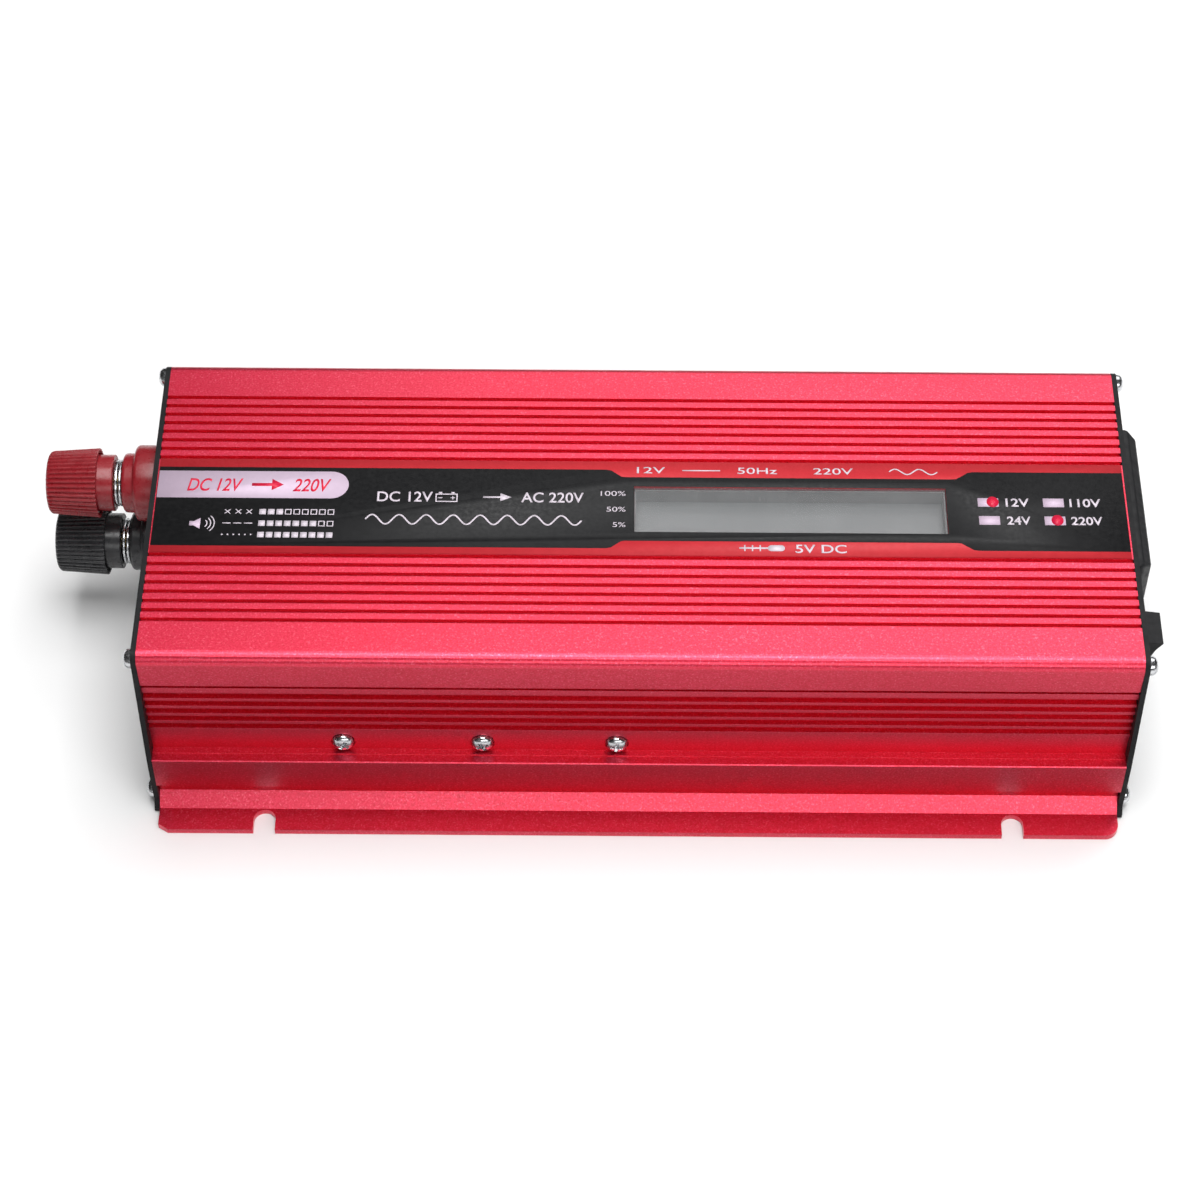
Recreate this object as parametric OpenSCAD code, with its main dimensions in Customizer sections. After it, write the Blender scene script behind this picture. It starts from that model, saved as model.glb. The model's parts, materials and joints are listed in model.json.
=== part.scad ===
// Power inverter: an extruded aluminium case with battery posts and a fan at the DC end,
// and a mains outlet, a rocker switch and a USB port at the AC end.
// X runs along the case, from the DC end (-X) to the AC end (+X). +Y is the rear and +Z is up.
// The origin is the centre of the underside. All sizes are in millimetres.

/* [Case] */
// Length of the extruded case between its end plates
case_l = 280; // [276:1:300]
// Width across the two upper side walls
case_w = 110.6; // [108:0.1:112]
// Height of the top face above the underside
case_h = 68.2; // [67:0.1:72]
// Width across the two mounting flanges
flange_w = 135; // [132:1:144]
// Thickness of each end plate
end_plate_t = 1.5; // [1.2:0.1:2]
// Distance between the mounting notches along the case
notch_spacing = 218; // [200:1:240]
// Width of a mounting notch
notch_w = 6.4; // [5:0.1:7]

/* [Fins] */
// Number of grooves on each side of the label
groove_count = 8; // [4:1:8]
// Distance from one groove to the next
groove_pitch = 3.32; // [3:0.01:3.4]
// Width of a groove in the top face
groove_w = 1.37; // [1:0.01:1.6]
// Depth of a groove in the top face
groove_depth = 1.4; // [0.8:0.1:1.5]
// Number of narrow ribs on each side wall
rib_count = 5; // [3:1:5]
// Distance from one side rib to the next
rib_pitch = 3.58; // [3:0.01:3.6]

/* [Label and display] */
// Width of the flat land that carries the label
land_w = 35; // [31:0.1:35]
// Thickness of the label
label_t = 0.25; // [0.2:0.05:0.4]
// Length of the display window
window_l = 90; // [70:1:92]
// Width of the display window
window_w = 16.8; // [12:0.1:18]
// Place of the middle of the display window along the case
window_x = 43; // [35:0.5:45]

/* [Battery posts] */
// Diameter of the insulated base of a post
post_base_d = 22.5; // [20:0.1:22.8]
// Largest diameter of a post's knob
knob_d = 20.5; // [18:0.1:21.5]
// Diameter of the threaded stud
stud_d = 6; // [5:0.5:6]
// Distance that a knob stands out from the end plate
post_reach = 33.4; // [32:0.1:38]
// Number of grip ribs on a knob
knob_ribs = 42; // [24:1:48]

/* [Fan] */
// Side of the square fan frame
fan_size = 50; // [50:1:50]
// Depth of the fan
fan_depth = 15; // [12:0.5:16]
// Number of fan blades
fan_blades = 7; // [5:1:9]

/* [AC end] */
// Side of the square outlet frame
outlet_size = 52; // [46:0.5:52]
// Distance that the outlet stands out from the end plate
outlet_reach = 5.5; // [4:0.5:8]
// Tilt of the rocker to each side of its middle
rocker_tilt = 10; // [6:1:10]

/* [Hidden] */

// Gap that lets two touching solids meet without sharing volume
eps = 0.01;

// Case profile
half_l = case_l / 2;
half_w = case_w / 2;
corner_r = 3.2;
land_half = land_w / 2;
upper_wall_bottom = case_h - 12.5;
rib_valley = half_w - 2.3;
rib_tip = half_w - 0.8;
broad_rib_top = upper_wall_bottom - 2;
broad_rib_bottom = broad_rib_top - 2.4;
rib_h = 1.2;
first_rib_z = broad_rib_bottom - 3.1;
plain_face = half_w - 1.3;
ledge_z = 23.9;
ledge_step = 0.3;
ledge_step_y = half_w + 0.6;
skirt_y = half_w + 3.4;
shell_bottom = 11.4;
skirt_t = 2.2;
inner_y = half_w - 4;
inner_top = case_h - 3;

// Base profile
floor_t = 2;
lip_outer = skirt_y - 2.5;
lip_inner = lip_outer - 2;
lip_top = 18;
slope_top = 5.9;
slope_foot = lip_outer + slope_top - floor_t;
base_l = case_l - 0.2;
notch_depth = 7;

// End plates and their screws
plate_x = half_l + end_plate_t;
plate_bottom = 0.5;
plate_foot_y = skirt_y - 0.3;
top_screw = [half_w - 2.7, case_h - 3.6];
foot_screw = [lip_outer - 1.85, 4.3];
top_boss_r = 2.5;
foot_boss_r = 2.4;
screw_hole_r = 1.25;
screw_shank_r = 1.2;
screw_clear_r = 1.7;
screw_len = 10;
head_r = 2.9;
head_h = 2.4;

// Display, from the top face downwards
window_y = -0.5;
window_t = 0.8;
window_gap = 0.15;
recess_depth = 5.8;
surround_t = 0.5;
surround_rim = 1.5;
panel_t = 2.6;
panel_rim = 2;
display_board_rim = 4;

// Clamp screws through the side walls
clamp_z = 27.8;
front_clamp_x = [-85, -45, -6.5];
rear_clamp_x = [-85, -45, -6.5, 60];
clamp_shank_r = 1.45;
clamp_bar_hole_r = 1.5;
spotface_r = 3.55;
spotface_y = plain_face - 0.5;
clamp_head_r = 3.2;
bar_y = inner_y - 7.7;
bar_t = 3;
strip_t = 0.3;
strip_bottom = 22;
strip_top = 34;
transistor_t = 4.4;
transistor_half_w = 5.1;
transistor_bottom = 14.5;
transistor_top = 30;
leg_pitch = 2.54;
front_transistor_x = [-97, -73, -58, -33, -19, 5];
rear_transistor_x = [-97, -73, -58, -33, -19, 5, 32, 46, 74, 88];

// Battery posts: centres as [y, z], and distances out from the end plate's face
red_post = [23, 50.6];
black_post = [19.8, 27.4];
stud_r = stud_d / 2;
post_flange_h = 7.6;
post_ring_end = 11.3;
post_ring_r = 8.8;
spigot_r = 4.4;
washer_r = 6.9;
washer_t = 0.8;
washer_gap = 0.4;
body_gap = 0.3;
collar_start = post_ring_end + 2 * washer_t + washer_gap + 2 * body_gap;
collar_r = 8.35;
skirt_start = collar_start + 4.7;
knob_tip_r = 9;
rib_depth = 0.45;
skirt_hollow = 2.4;
cap_h = 1.4;
stud_tip = post_reach - 4.8;
nut_flats = 10;
nut_h = 5;
lug_t = 1.2;
insulator_t = 2.5;
lug_reach = 13;
lug_x = -half_l + insulator_t + lug_t / 2;
lead_r = 2.2;

// Fan, drawn along +X from the inside face of the DC end plate
fan_y = -22.7;
fan_z = 35.9;
fan_bore_r = 24;
fan_hub_r = 11.5;
fan_blade_r = 23.3;
fan_hole_offset = fan_size / 2 - 5;
fan_hub_plate_t = 3;
fan_shaft_r = 1;
fan_running_gap = 0.04;
rotor_gap = 1.2;

// Outlet
outlet_y = 11.9;
outlet_z = 34.9;
outlet_edge = 2.2;
outlet_rim = 6.5;
outlet_body = 40;
outlet_body_depth = 16;
outlet_hole_w = 5.2;
outlet_hole_l = 8.6;
earth_dz = 10;
line_dy = 8.5;
line_dz = -6;
outlet_hole_depth = 18;

// Rocker switch
switch_y = -31.7;
switch_z = 47.4;
bezel_w = 15;
bezel_h = 21;
bezel_t = 2;
switch_body_half_w = 6.6;
switch_body_half_h = 9.9;
switch_cavity_half_w = 5.95;
switch_cavity_half_h = 9.5;
switch_depth = 13;
pivot_x = plate_x - 1;
pivot_r = 1.5;
rocker_half_w = 5.6;
rocker_half_h = 8.5;
tab_x = 119;

// USB port
usb_y = -31.7;
usb_z = 21.5;
usb_w = 13.1;
usb_h = 5.7;
usb_wall = 0.4;
usb_depth = 14;

// Boards
board_bottom = 8;
board_t = 1.6;
board_top = board_bottom + board_t;
board_half_l = 112;
board_half_w = 49.8;
spacer_x = [-104, -20, 104];
spacer_y = 34;

// Transformers
transformer_x = [-42, 2, 46];
core_t = 15;
core_w = 42;
core_h = 34;
core_bottom = 15;
core_window_h = 22;
centre_leg_w = 12.4;
core_window_w = 8.6;
core_window_bottom = core_bottom + (core_h - core_window_h) / 2;
bobbin_t = 1;
bobbin_gap = 0.15;

// Output choke on the main board
choke = [98, 20];
choke_r = 9;
choke_hole_r = 4.8;
choke_h = 8;
choke_bottom = board_top + 1.4;

// Points of the upper half of the outer case profile, from the label land to the side wall
function groove_points(k) =
    let (y = land_half + k * groove_pitch)
    [
        [y, case_h],
        [y, case_h - groove_depth],
        [y + groove_w, case_h - groove_depth],
        [y + groove_w, case_h]
    ];

function corner_points(y, z, r, steps = 8) =
    [for (i = [0:steps]) [y + r * sin(90 * i / steps), z + r * cos(90 * i / steps)]];

function rib_points(k) =
    let (z = first_rib_z - k * rib_pitch)
    [
        [rib_valley, z + rib_h / 2],
        [rib_tip, z + rib_h / 2],
        [rib_tip, z - rib_h / 2],
        [k == rib_count - 1 ? plain_face : rib_valley, z - rib_h / 2]
    ];

function shell_outside() = concat(
    [for (k = [0:groove_count - 1]) each groove_points(k)],
    corner_points(half_w - corner_r, case_h - corner_r, corner_r),
    [
        [half_w, upper_wall_bottom],
        [rib_valley, upper_wall_bottom],
        [rib_valley, broad_rib_top],
        [rib_tip, broad_rib_top],
        [rib_tip, broad_rib_bottom],
        [rib_valley, broad_rib_bottom]
    ],
    [for (k = [0:rib_count - 1]) each rib_points(k)],
    [
        [plain_face, ledge_z + ledge_step],
        [ledge_step_y, ledge_z + ledge_step],
        [ledge_step_y, ledge_z],
        [skirt_y - ledge_step, ledge_z],
        [skirt_y, ledge_z - ledge_step],
        [skirt_y, shell_bottom]
    ]
);

function shell_inside() = [
    [skirt_y - skirt_t, shell_bottom],
    [skirt_y - skirt_t, ledge_z - skirt_t],
    [inner_y, ledge_z - skirt_t],
    [inner_y, inner_top]
];

function reversed(v) = [for (i = [len(v) - 1:-1:0]) v[i]];

function both_sides(half) = concat(half, [for (p = reversed(half)) [-p[0], p[1]]]);

function end_outline() = both_sides(concat(
    corner_points(half_w - corner_r, case_h - corner_r, corner_r),
    [
        [plate_foot_y, ledge_z - 1],
        [plate_foot_y, slope_foot + floor_t - plate_foot_y],
        [slope_foot, floor_t],
        [slope_foot, plate_bottom]
    ]
));

// Draws a [y, z] outline as a bar along X from x0 to x1
module bar_x(x0, x1) {
    translate([x0, 0, 0])
        rotate([90, 0, 90])
            linear_extrude(x1 - x0)
                children();
}

// Cylinder along X from x0 to x1, centred on [y, z]
module rod_x(x0, x1, y, z, r, sides = 48) {
    translate([x0, y, z])
        rotate([0, 90, 0])
            cylinder(h = x1 - x0, r = r, $fn = sides);
}

// Cylinder along Y from y0 to y1, centred on [x, z]
module rod_y(y0, y1, x, z, r, sides = 48) {
    translate([x, y1, z])
        rotate([90, 0, 0])
            cylinder(h = y1 - y0, r = r, $fn = sides);
}

// Box given by its low and high corners
module block(low, high) {
    translate(low)
        cube(high - low);
}

// Pan head with a cross recess, seated at x = 0 and standing out along -X
module pan_head(r, h) {
    difference() {
        rotate([0, -90, 0])
            rotate_extrude($fn = 48)
                polygon([[0, 0], [r, 0], [r, h * 0.45], [r * 0.82, h * 0.85], [r * 0.5, h], [0, h]]);
        for (turn = [0, 90])
            rotate([turn, 0, 0])
                block([-h - 1, -r * 0.5, -r * 0.13], [-h * 0.45, r * 0.5, r * 0.13]);
    }
}

module cross_screw(r, h, shank_r, length) {
    pan_head(r, h);
    rod_x(-eps, length, 0, 0, shank_r);
}

// The four screws of one end plate, for the DC end
module plate_screws() {
    for (side = [-1, 1])
        for (p = [top_screw, foot_screw])
            translate([-plate_x, side * p[0], p[1]])
                rotate([side * 25, 0, 0])
                    cross_screw(head_r, head_h, screw_shank_r, screw_len);
}

module plate_screw_holes(x0, x1, r) {
    for (side = [-1, 1])
        for (p = [top_screw, foot_screw])
            rod_x(x0, x1, side * p[0], p[1], r);
}

// Tube or strip swept along a cubic curve through four control points
function curve_point(c, t) =
    pow(1 - t, 3) * c[0] + 3 * pow(1 - t, 2) * t * c[1] + 3 * (1 - t) * pow(t, 2) * c[2]
    + pow(t, 3) * c[3];

function curve_tangent(c, t) =
    let (d = pow(1 - t, 2) * (c[1] - c[0]) + 2 * (1 - t) * t * (c[2] - c[1])
        + pow(t, 2) * (c[3] - c[2]))
    d / norm(d);

function ring_at(c, t, outline, across) =
    let (
        centre = curve_point(c, t),
        along = curve_tangent(c, t),
        raw = across - (across * along) * along,
        side = raw / norm(raw),
        other = cross(along, side)
    )
    [for (p = outline) centre + p[0] * side + p[1] * other];

module swept(c, outline, across, steps = 16) {
    n = len(outline);
    points = [for (i = [0:steps]) each ring_at(c, i / steps, outline, across)];
    walls = [
        for (i = [0:steps - 1])
            for (k = [0:n - 1])
                [i * n + k, (i + 1) * n + k, (i + 1) * n + (k + 1) % n, i * n + (k + 1) % n]
    ];
    ends = [[for (k = [0:n - 1]) k], [for (k = [n - 1:-1:0]) steps * n + k]];
    polyhedron(points, concat(walls, ends), convexity = 6);
}

function round_outline(r, sides = 10) =
    [for (i = [0:sides - 1]) [r * cos(360 * i / sides), r * sin(360 * i / sides)]];

module lead(c, r, across = [0, 1, 0]) {
    swept(c, round_outline(r), across);
}

// Case

module side_hole(x, side) {
    rod_y(side > 0 ? inner_y - 1 : -half_w - 1, side > 0 ? half_w + 1 : -inner_y + 1,
        x, clamp_z, screw_clear_r);
    rod_y(side > 0 ? spotface_y : -half_w - 1, side > 0 ? half_w + 1 : -spotface_y,
        x, clamp_z, spotface_r);
}

module top_shell() {
    color("#c4162c")
        difference() {
            union() {
                bar_x(-half_l, half_l)
                    polygon(both_sides(concat(shell_outside(), shell_inside())));
                for (side = [-1, 1])
                    rod_x(-half_l, half_l, side * top_screw[0], top_screw[1], top_boss_r);
            }
            for (side = [-1, 1])
                for (x = [-half_l - 1, half_l - screw_len - 2])
                    rod_x(x, x + screw_len + 3, side * top_screw[0], top_screw[1], screw_hole_r);
            for (x = front_clamp_x)
                side_hole(x, -1);
            for (x = rear_clamp_x)
                side_hole(x, 1);
            display_block(0, inner_top - 1, case_h + 1);
        }
}

module base_outline() {
    polygon(both_sides([
        [flange_w / 2, 0],
        [flange_w / 2, floor_t],
        [slope_foot, floor_t],
        [lip_outer, slope_top],
        [lip_outer, lip_top],
        [lip_inner, lip_top],
        [lip_inner, floor_t]
    ]));
}

// Plan view of the base: chamfered corners at the DC end and rounded ones at the AC end
module base_plan() {
    corner = 4;
    cut = [2.8, 1.8];
    l = base_l / 2;
    w = flange_w / 2;
    polygon(concat(
        [[-l, w - cut[1]], [-l + cut[0], w]],
        corner_points(l - corner, w - corner, corner),
        [for (p = reversed(corner_points(l - corner, w - corner, corner))) [p[0], -p[1]]],
        [[-l + cut[0], -w], [-l, -w + cut[1]]]
    ));
}

module base_plate() {
    notch_y = flange_w / 2 - notch_depth + notch_w / 2;
    color("#b3142a")
        difference() {
            intersection() {
                union() {
                    bar_x(-base_l / 2, base_l / 2)
                        base_outline();
                    for (side = [-1, 1])
                        rod_x(-base_l / 2, base_l / 2, side * foot_screw[0], foot_screw[1], foot_boss_r);
                }
                translate([0, 0, -1])
                    linear_extrude(lip_top + 2)
                        base_plan();
            }
            for (sx = [-1, 1])
                for (sy = [-1, 1])
                    translate([sx * notch_spacing / 2, sy * notch_y, -1]) {
                        cylinder(h = floor_t + 2, d = notch_w, $fn = 48);
                        block(
                            [-notch_w / 2, sy > 0 ? 0 : -notch_depth, 0],
                            [notch_w / 2, sy > 0 ? notch_depth : 0, floor_t + 2]
                        );
                    }
            for (side = [-1, 1])
                for (x = [-base_l / 2 - 1, base_l / 2 - screw_len - 2])
                    rod_x(x, x + screw_len + 3, side * foot_screw[0], foot_screw[1], screw_hole_r);
        }
}

// Upright air slots inside a circle of radius reach, around [y, z]
module grille(x0, x1, y, z, reach, slot_w, pitch, count) {
    for (i = [-count:count]) {
        half = sqrt(pow(reach, 2) - pow(i * pitch, 2)) - slot_w / 2;
        block([x0, y + i * pitch - slot_w / 2, z - half], [x1, y + i * pitch + slot_w / 2, z + half]);
        for (end = [-half, half])
            rod_x(x0, x1, y + i * pitch, z + end, slot_w / 2, 24);
    }
}

module dc_end_plate() {
    outside = -plate_x - 1;
    inside = -half_l + 1;
    color("#232326")
        difference() {
            bar_x(-plate_x, -half_l)
                polygon(end_outline());
            plate_screw_holes(outside, inside, screw_clear_r);
            for (p = [red_post, black_post])
                rod_x(outside, inside, p[0], p[1], spigot_r + 0.1);
            grille(outside, inside, fan_y, fan_z, 22, 3, 5.5, 3);
            for (sy = [-1, 1])
                for (sz = [-1, 1])
                    rod_x(outside, inside, fan_y + sy * fan_hole_offset,
                        fan_z + sz * fan_hole_offset, screw_clear_r);
        }
}

module ac_end_plate() {
    inside = half_l - 1;
    outside = plate_x + 1;
    body = outlet_body / 2 + 0.15;
    color("#232326")
        difference() {
            bar_x(half_l, plate_x)
                polygon(end_outline());
            plate_screw_holes(inside, outside, screw_clear_r);
            block([inside, outlet_y - body, outlet_z - body], [outside, outlet_y + body, outlet_z + body]);
            block(
                [inside, switch_y - switch_body_half_w - 0.1, switch_z - switch_body_half_h - 0.1],
                [outside, switch_y + switch_body_half_w + 0.1, switch_z + switch_body_half_h + 0.1]
            );
            block(
                [inside, usb_y - usb_w / 2 - 0.1, usb_z - usb_h / 2 - 0.1],
                [outside, usb_y + usb_w / 2 + 0.1, usb_z + usb_h / 2 + 0.1]
            );
            for (i = [0:2])
                block([inside, 40.4 + i * 4.2, 16], [outside, 42.4 + i * 4.2, 46]);
        }
}

module dc_plate_screws() {
    color("#c9ccd1")
        plate_screws();
}

module ac_plate_screws() {
    color("#c9ccd1")
        rotate([0, 0, 180])
            plate_screws();
}

// Clamp screws on one side: side -1 is the front wall and side 1 is the rear wall
module clamp_screws(places, side) {
    for (i = [0:len(places) - 1])
        translate([places[i], side * spotface_y, clamp_z])
            rotate([0, 0, side < 0 ? 90 : -90])
                rotate([35 * i, 0, 0])
                    cross_screw(clamp_head_r, head_h, clamp_shank_r, spotface_y - bar_y + bar_t - 1);
}

module front_clamp_screws() {
    color("#c9ccd1")
        clamp_screws(front_clamp_x, -1);
}

module rear_clamp_screws() {
    color("#c9ccd1")
        clamp_screws(rear_clamp_x, 1);
}

// Label and display

// Block around the middle of the display, larger than its opening by rim on every side
module display_block(rim, z0, z1) {
    block(
        [window_x - window_l / 2 - rim, window_y - window_w / 2 - rim, z0],
        [window_x + window_l / 2 + rim, window_y + window_w / 2 + rim, z1]
    );
}

module face_label() {
    color("#3a3a3c")
        difference() {
            block(
                [-half_l + 0.3, -land_half + 0.1, case_h],
                [half_l - 0.4, land_half - 0.1, case_h + label_t]
            );
            display_block(0, case_h - 1, case_h + 1);
        }
}

module display_window() {
    color("#868b8e")
        display_block(-window_gap, case_h - window_t, case_h + 0.1);
}

// Frame that lines the opening, with a rim that rests under the top of the case
module display_surround() {
    color("#77797b")
        difference() {
            union() {
                display_block(-window_gap, case_h - recess_depth, case_h - window_t);
                display_block(surround_rim, case_h - recess_depth, inner_top);
            }
            display_block(-window_gap - surround_t, case_h - recess_depth - 1, case_h);
        }
}

module display_panel() {
    color("#5f7a5a")
        display_block(panel_rim, case_h - recess_depth - panel_t, case_h - recess_depth);
}

module display_board() {
    top = case_h - recess_depth - panel_t;
    color("#1f5c33")
        display_block(display_board_rim, top - board_t, top);
}

// Battery posts. Each module draws along -X with x = 0 on the outer face of the end plate.

module at_post(p) {
    translate([-plate_x, p[0], p[1]])
        children();
}

// Turns a [distance out, radius] outline about the X axis, pointing along -X
module turned(sides = 64) {
    rotate([0, -90, 0])
        rotate_extrude($fn = sides)
            children();
}

module post_base() {
    r = post_base_d / 2;
    difference() {
        turned()
            polygon([
                [0, -end_plate_t], [spigot_r, -end_plate_t], [spigot_r, 0], [r, 0],
                [r, post_flange_h - 1.2], [r - 0.4, post_flange_h - 0.4], [r - 1.2, post_flange_h],
                [post_ring_r, post_flange_h], [post_ring_r, post_ring_end - 1],
                [post_ring_r - 0.3, post_ring_end - 0.3], [post_ring_r - 1, post_ring_end],
                [0, post_ring_end]
            ]);
        rod_x(-post_ring_end - 1, end_plate_t + 1, 0, 0, stud_r + 0.1);
    }
}

module post_stud() {
    turned()
        polygon([
            [0, -12.5], [stud_r, -12.5], [stud_r, stud_tip - 0.8], [stud_r - 0.8, stud_tip],
            [0, stud_tip]
        ]);
}

module post_insulator() {
    difference() {
        rod_x(end_plate_t, end_plate_t + insulator_t, 0, 0, 8);
        rod_x(0, end_plate_t + insulator_t + 1, 0, 0, stud_r + 0.1);
    }
}

module post_nut() {
    start = end_plate_t + insulator_t + lug_t;
    difference() {
        rod_x(start, start + nut_h, 0, 0, nut_flats / sqrt(3), 6);
        rod_x(start - 1, start + nut_h + 1, 0, 0, stud_r + 0.05);
    }
}

module post_washers() {
    first = post_ring_end + body_gap;
    for (out = [first, first + washer_t + washer_gap])
        difference() {
            rod_x(-out - washer_t, -out, 0, 0, washer_r);
            rod_x(-out - washer_t - 1, -out + 1, 0, 0, stud_r + 0.35);
        }
}

// Outline of the ribbed grip, at a scale of 1 at the skirt
function grip_outline(r) = [
    for (i = [0:knob_ribs - 1])
        for (step = [[0, -rib_depth], [0.2, -rib_depth], [0.42, 0], [0.78, 0]])
            let (angle = 360 * (i + step[0]) / knob_ribs, reach = r + step[1])
            [reach * cos(angle), reach * sin(angle)]
];

module post_knob() {
    skirt_r = knob_d / 2;
    grip_end = post_reach - cap_h;
    difference() {
        union() {
            rod_x(-skirt_start - 1, -collar_start, 0, 0, collar_r);
            translate([-skirt_start, 0, 0])
                rotate([0, -90, 0])
                    linear_extrude(grip_end - skirt_start, scale = (knob_tip_r + 0.35) / skirt_r)
                        polygon(grip_outline(skirt_r));
            turned()
                polygon([
                    [0, grip_end - 1], [knob_tip_r - 0.1, grip_end - 1], [knob_tip_r - 0.1, grip_end],
                    [knob_tip_r - 0.5, post_reach - 0.5], [knob_tip_r - 1.4, post_reach],
                    [0, post_reach]
                ]);
        }
        turned()
            polygon([
                [collar_r, skirt_start - 1], [skirt_r + 1, skirt_start - 1],
                [skirt_r + 1, skirt_start], [skirt_r - 0.2, skirt_start],
                [collar_r, skirt_start + skirt_hollow]
            ]);
        rod_x(-stud_tip - 0.6, -collar_start + 1, 0, 0, stud_r + 0.05);
    }
}

module red_post_base() {
    color("#8c1722")
        at_post(red_post)
            post_base();
}

module red_post_stud() {
    color("#c8b26a")
        at_post(red_post)
            post_stud();
}

module red_post_insulator() {
    color("#8c1722")
        at_post(red_post)
            post_insulator();
}

module red_post_nut() {
    color("#c9ccd1")
        at_post(red_post)
            post_nut();
}

module red_post_washers() {
    color("#c9ccd1")
        at_post(red_post)
            post_washers();
}

module red_knob() {
    color("#a01c2a")
        at_post(red_post)
            post_knob();
}

module black_post_base() {
    color("#1b1b1d")
        at_post(black_post)
            post_base();
}

module black_post_stud() {
    color("#c8b26a")
        at_post(black_post)
            post_stud();
}

module black_post_insulator() {
    color("#1b1b1d")
        at_post(black_post)
            post_insulator();
}

module black_post_nut() {
    color("#c9ccd1")
        at_post(black_post)
            post_nut();
}

module black_post_washers() {
    color("#c9ccd1")
        at_post(black_post)
            post_washers();
}

module black_knob() {
    color("#1b1b1d")
        at_post(black_post)
            post_knob();
}

// Fan

module at_fan() {
    translate([-half_l, fan_y, fan_z])
        children();
}

module fan_corners() {
    for (sy = [-1, 1])
        for (sz = [-1, 1])
            translate([0, sy * fan_hole_offset, sz * fan_hole_offset])
                children();
}

module fan_frame() {
    half = fan_size / 2;
    hub_start = fan_depth - fan_hub_plate_t;
    color("#1c1c1e")
        at_fan()
            difference() {
                union() {
                    difference() {
                        block([0, -half, -half], [fan_depth, half, half]);
                        rod_x(-1, fan_depth + 1, 0, 0, fan_bore_r, 96);
                    }
                    rod_x(hub_start, fan_depth, 0, 0, fan_hub_r);
                    for (turn = [45:90:315])
                        rotate([turn, 0, 0])
                            block([hub_start, -1.5, fan_hub_r - 1], [fan_depth, 1.5, fan_bore_r + 1]);
                }
                fan_corners()
                    rod_x(-1, fan_depth + 1, 0, 0, 2.2, 32);
                rod_x(hub_start - 1, fan_depth - 0.8, 0, 0, fan_shaft_r + fan_running_gap);
            }
}

module fan_rotor() {
    blade_end = fan_depth - fan_hub_plate_t - 0.6;
    color("#2a2a2d")
        at_fan() {
            rod_x(rotor_gap, blade_end, 0, 0, fan_hub_r);
            rod_x(blade_end - 1, fan_depth - 1.2, 0, 0, fan_shaft_r);
            intersection() {
                rod_x(rotor_gap, blade_end, 0, 0, fan_blade_r, 96);
                for (i = [0:fan_blades - 1])
                    rotate([360 * i / fan_blades, 0, 0])
                        translate([(rotor_gap + blade_end) / 2, 0, 0])
                            rotate([0, 0, 50])
                                block([-9, -0.6, fan_hub_r - 2], [9, 0.6, fan_blade_r + 2]);
            }
        }
}

module fan_screws() {
    color("#c9ccd1")
        at_fan()
            fan_corners()
                translate([-end_plate_t, 0, 0])
                    cross_screw(2.8, 1.8, clamp_shank_r, end_plate_t + fan_depth + 3);
}

module fan_nuts() {
    color("#c9ccd1")
        at_fan()
            fan_corners()
                difference() {
                    rod_x(fan_depth, fan_depth + 2.4, 0, 0, 3.1, 6);
                    rod_x(fan_depth - 1, fan_depth + 3, 0, 0, clamp_shank_r + 0.05);
                }
}

// Outlet

module at_outlet() {
    translate([plate_x, outlet_y, outlet_z])
        children();
}

// Places a child at each of the three contact holes
module outlet_poles() {
    translate([0, 0, earth_dz])
        children();
    for (side = [-1, 1])
        translate([0, side * line_dy, line_dz])
            rotate([90, 0, 0])
                children();
}

module outlet_housing() {
    half = outlet_size / 2;
    face = half - outlet_edge;
    well = half - outlet_rim;
    body = outlet_body / 2;
    color("#1d1d1f")
        at_outlet()
            difference() {
                union() {
                    hull() {
                        block([0, -half, -half], [outlet_reach / 2, half, half]);
                        block([outlet_reach - 0.2, -face, -face], [outlet_reach, face, face]);
                    }
                    block([-outlet_body_depth, -body, -body], [0.5, body, body]);
                }
                block([outlet_reach - 1.2, -well, -well], [outlet_reach + 1, well, well]);
                outlet_poles()
                    block(
                        [outlet_reach - outlet_hole_depth, -outlet_hole_w / 2, -outlet_hole_l / 2],
                        [outlet_reach + 1, outlet_hole_w / 2, outlet_hole_l / 2]
                    );
                outlet_poles()
                    block(
                        [-outlet_body_depth - 1, -outlet_hole_w / 2 - 1, -outlet_hole_l / 2 - 1],
                        [0, outlet_hole_w / 2 + 1, outlet_hole_l / 2 + 1]
                    );
            }
}

// Three folded spring clips, each a base with two cheeks that grip a plug pin
module outlet_contacts() {
    back = -outlet_body_depth - 4;
    color("#b8923f")
        at_outlet()
            outlet_poles() {
                for (side = [-1, 1])
                    block(
                        [-outlet_body_depth + 1, side < 0 ? -3.6 : 3, -3.5],
                        [-1, side < 0 ? -3 : 3.6, 3.5]
                    );
                block([-outlet_body_depth + 0.4, -3.6, -3.5], [-outlet_body_depth + 1, 3.6, 3.5]);
                block([back, -0.4, -2.4], [-outlet_body_depth + 0.4, 0.4, 2.4]);
            }
}

// Rocker switch

module switch_housing() {
    inner = plate_x - switch_depth;
    color("#19191b")
        difference() {
            translate([0, switch_y, switch_z]) {
                block([plate_x, -bezel_w / 2, -bezel_h / 2], [plate_x + bezel_t, bezel_w / 2, bezel_h / 2]);
                block(
                    [inner, -switch_body_half_w, -switch_body_half_h],
                    [plate_x + 0.5, switch_body_half_w, switch_body_half_h]
                );
            }
            translate([0, switch_y, switch_z])
                block(
                    [inner + 1.5, -switch_cavity_half_w, -switch_cavity_half_h],
                    [plate_x + bezel_t + 1, switch_cavity_half_w, switch_cavity_half_h]
                );
            rod_y(switch_y - switch_body_half_w - 1, switch_y + switch_body_half_w + 1,
                pivot_x, switch_z, pivot_r + 0.05);
        }
}

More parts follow.
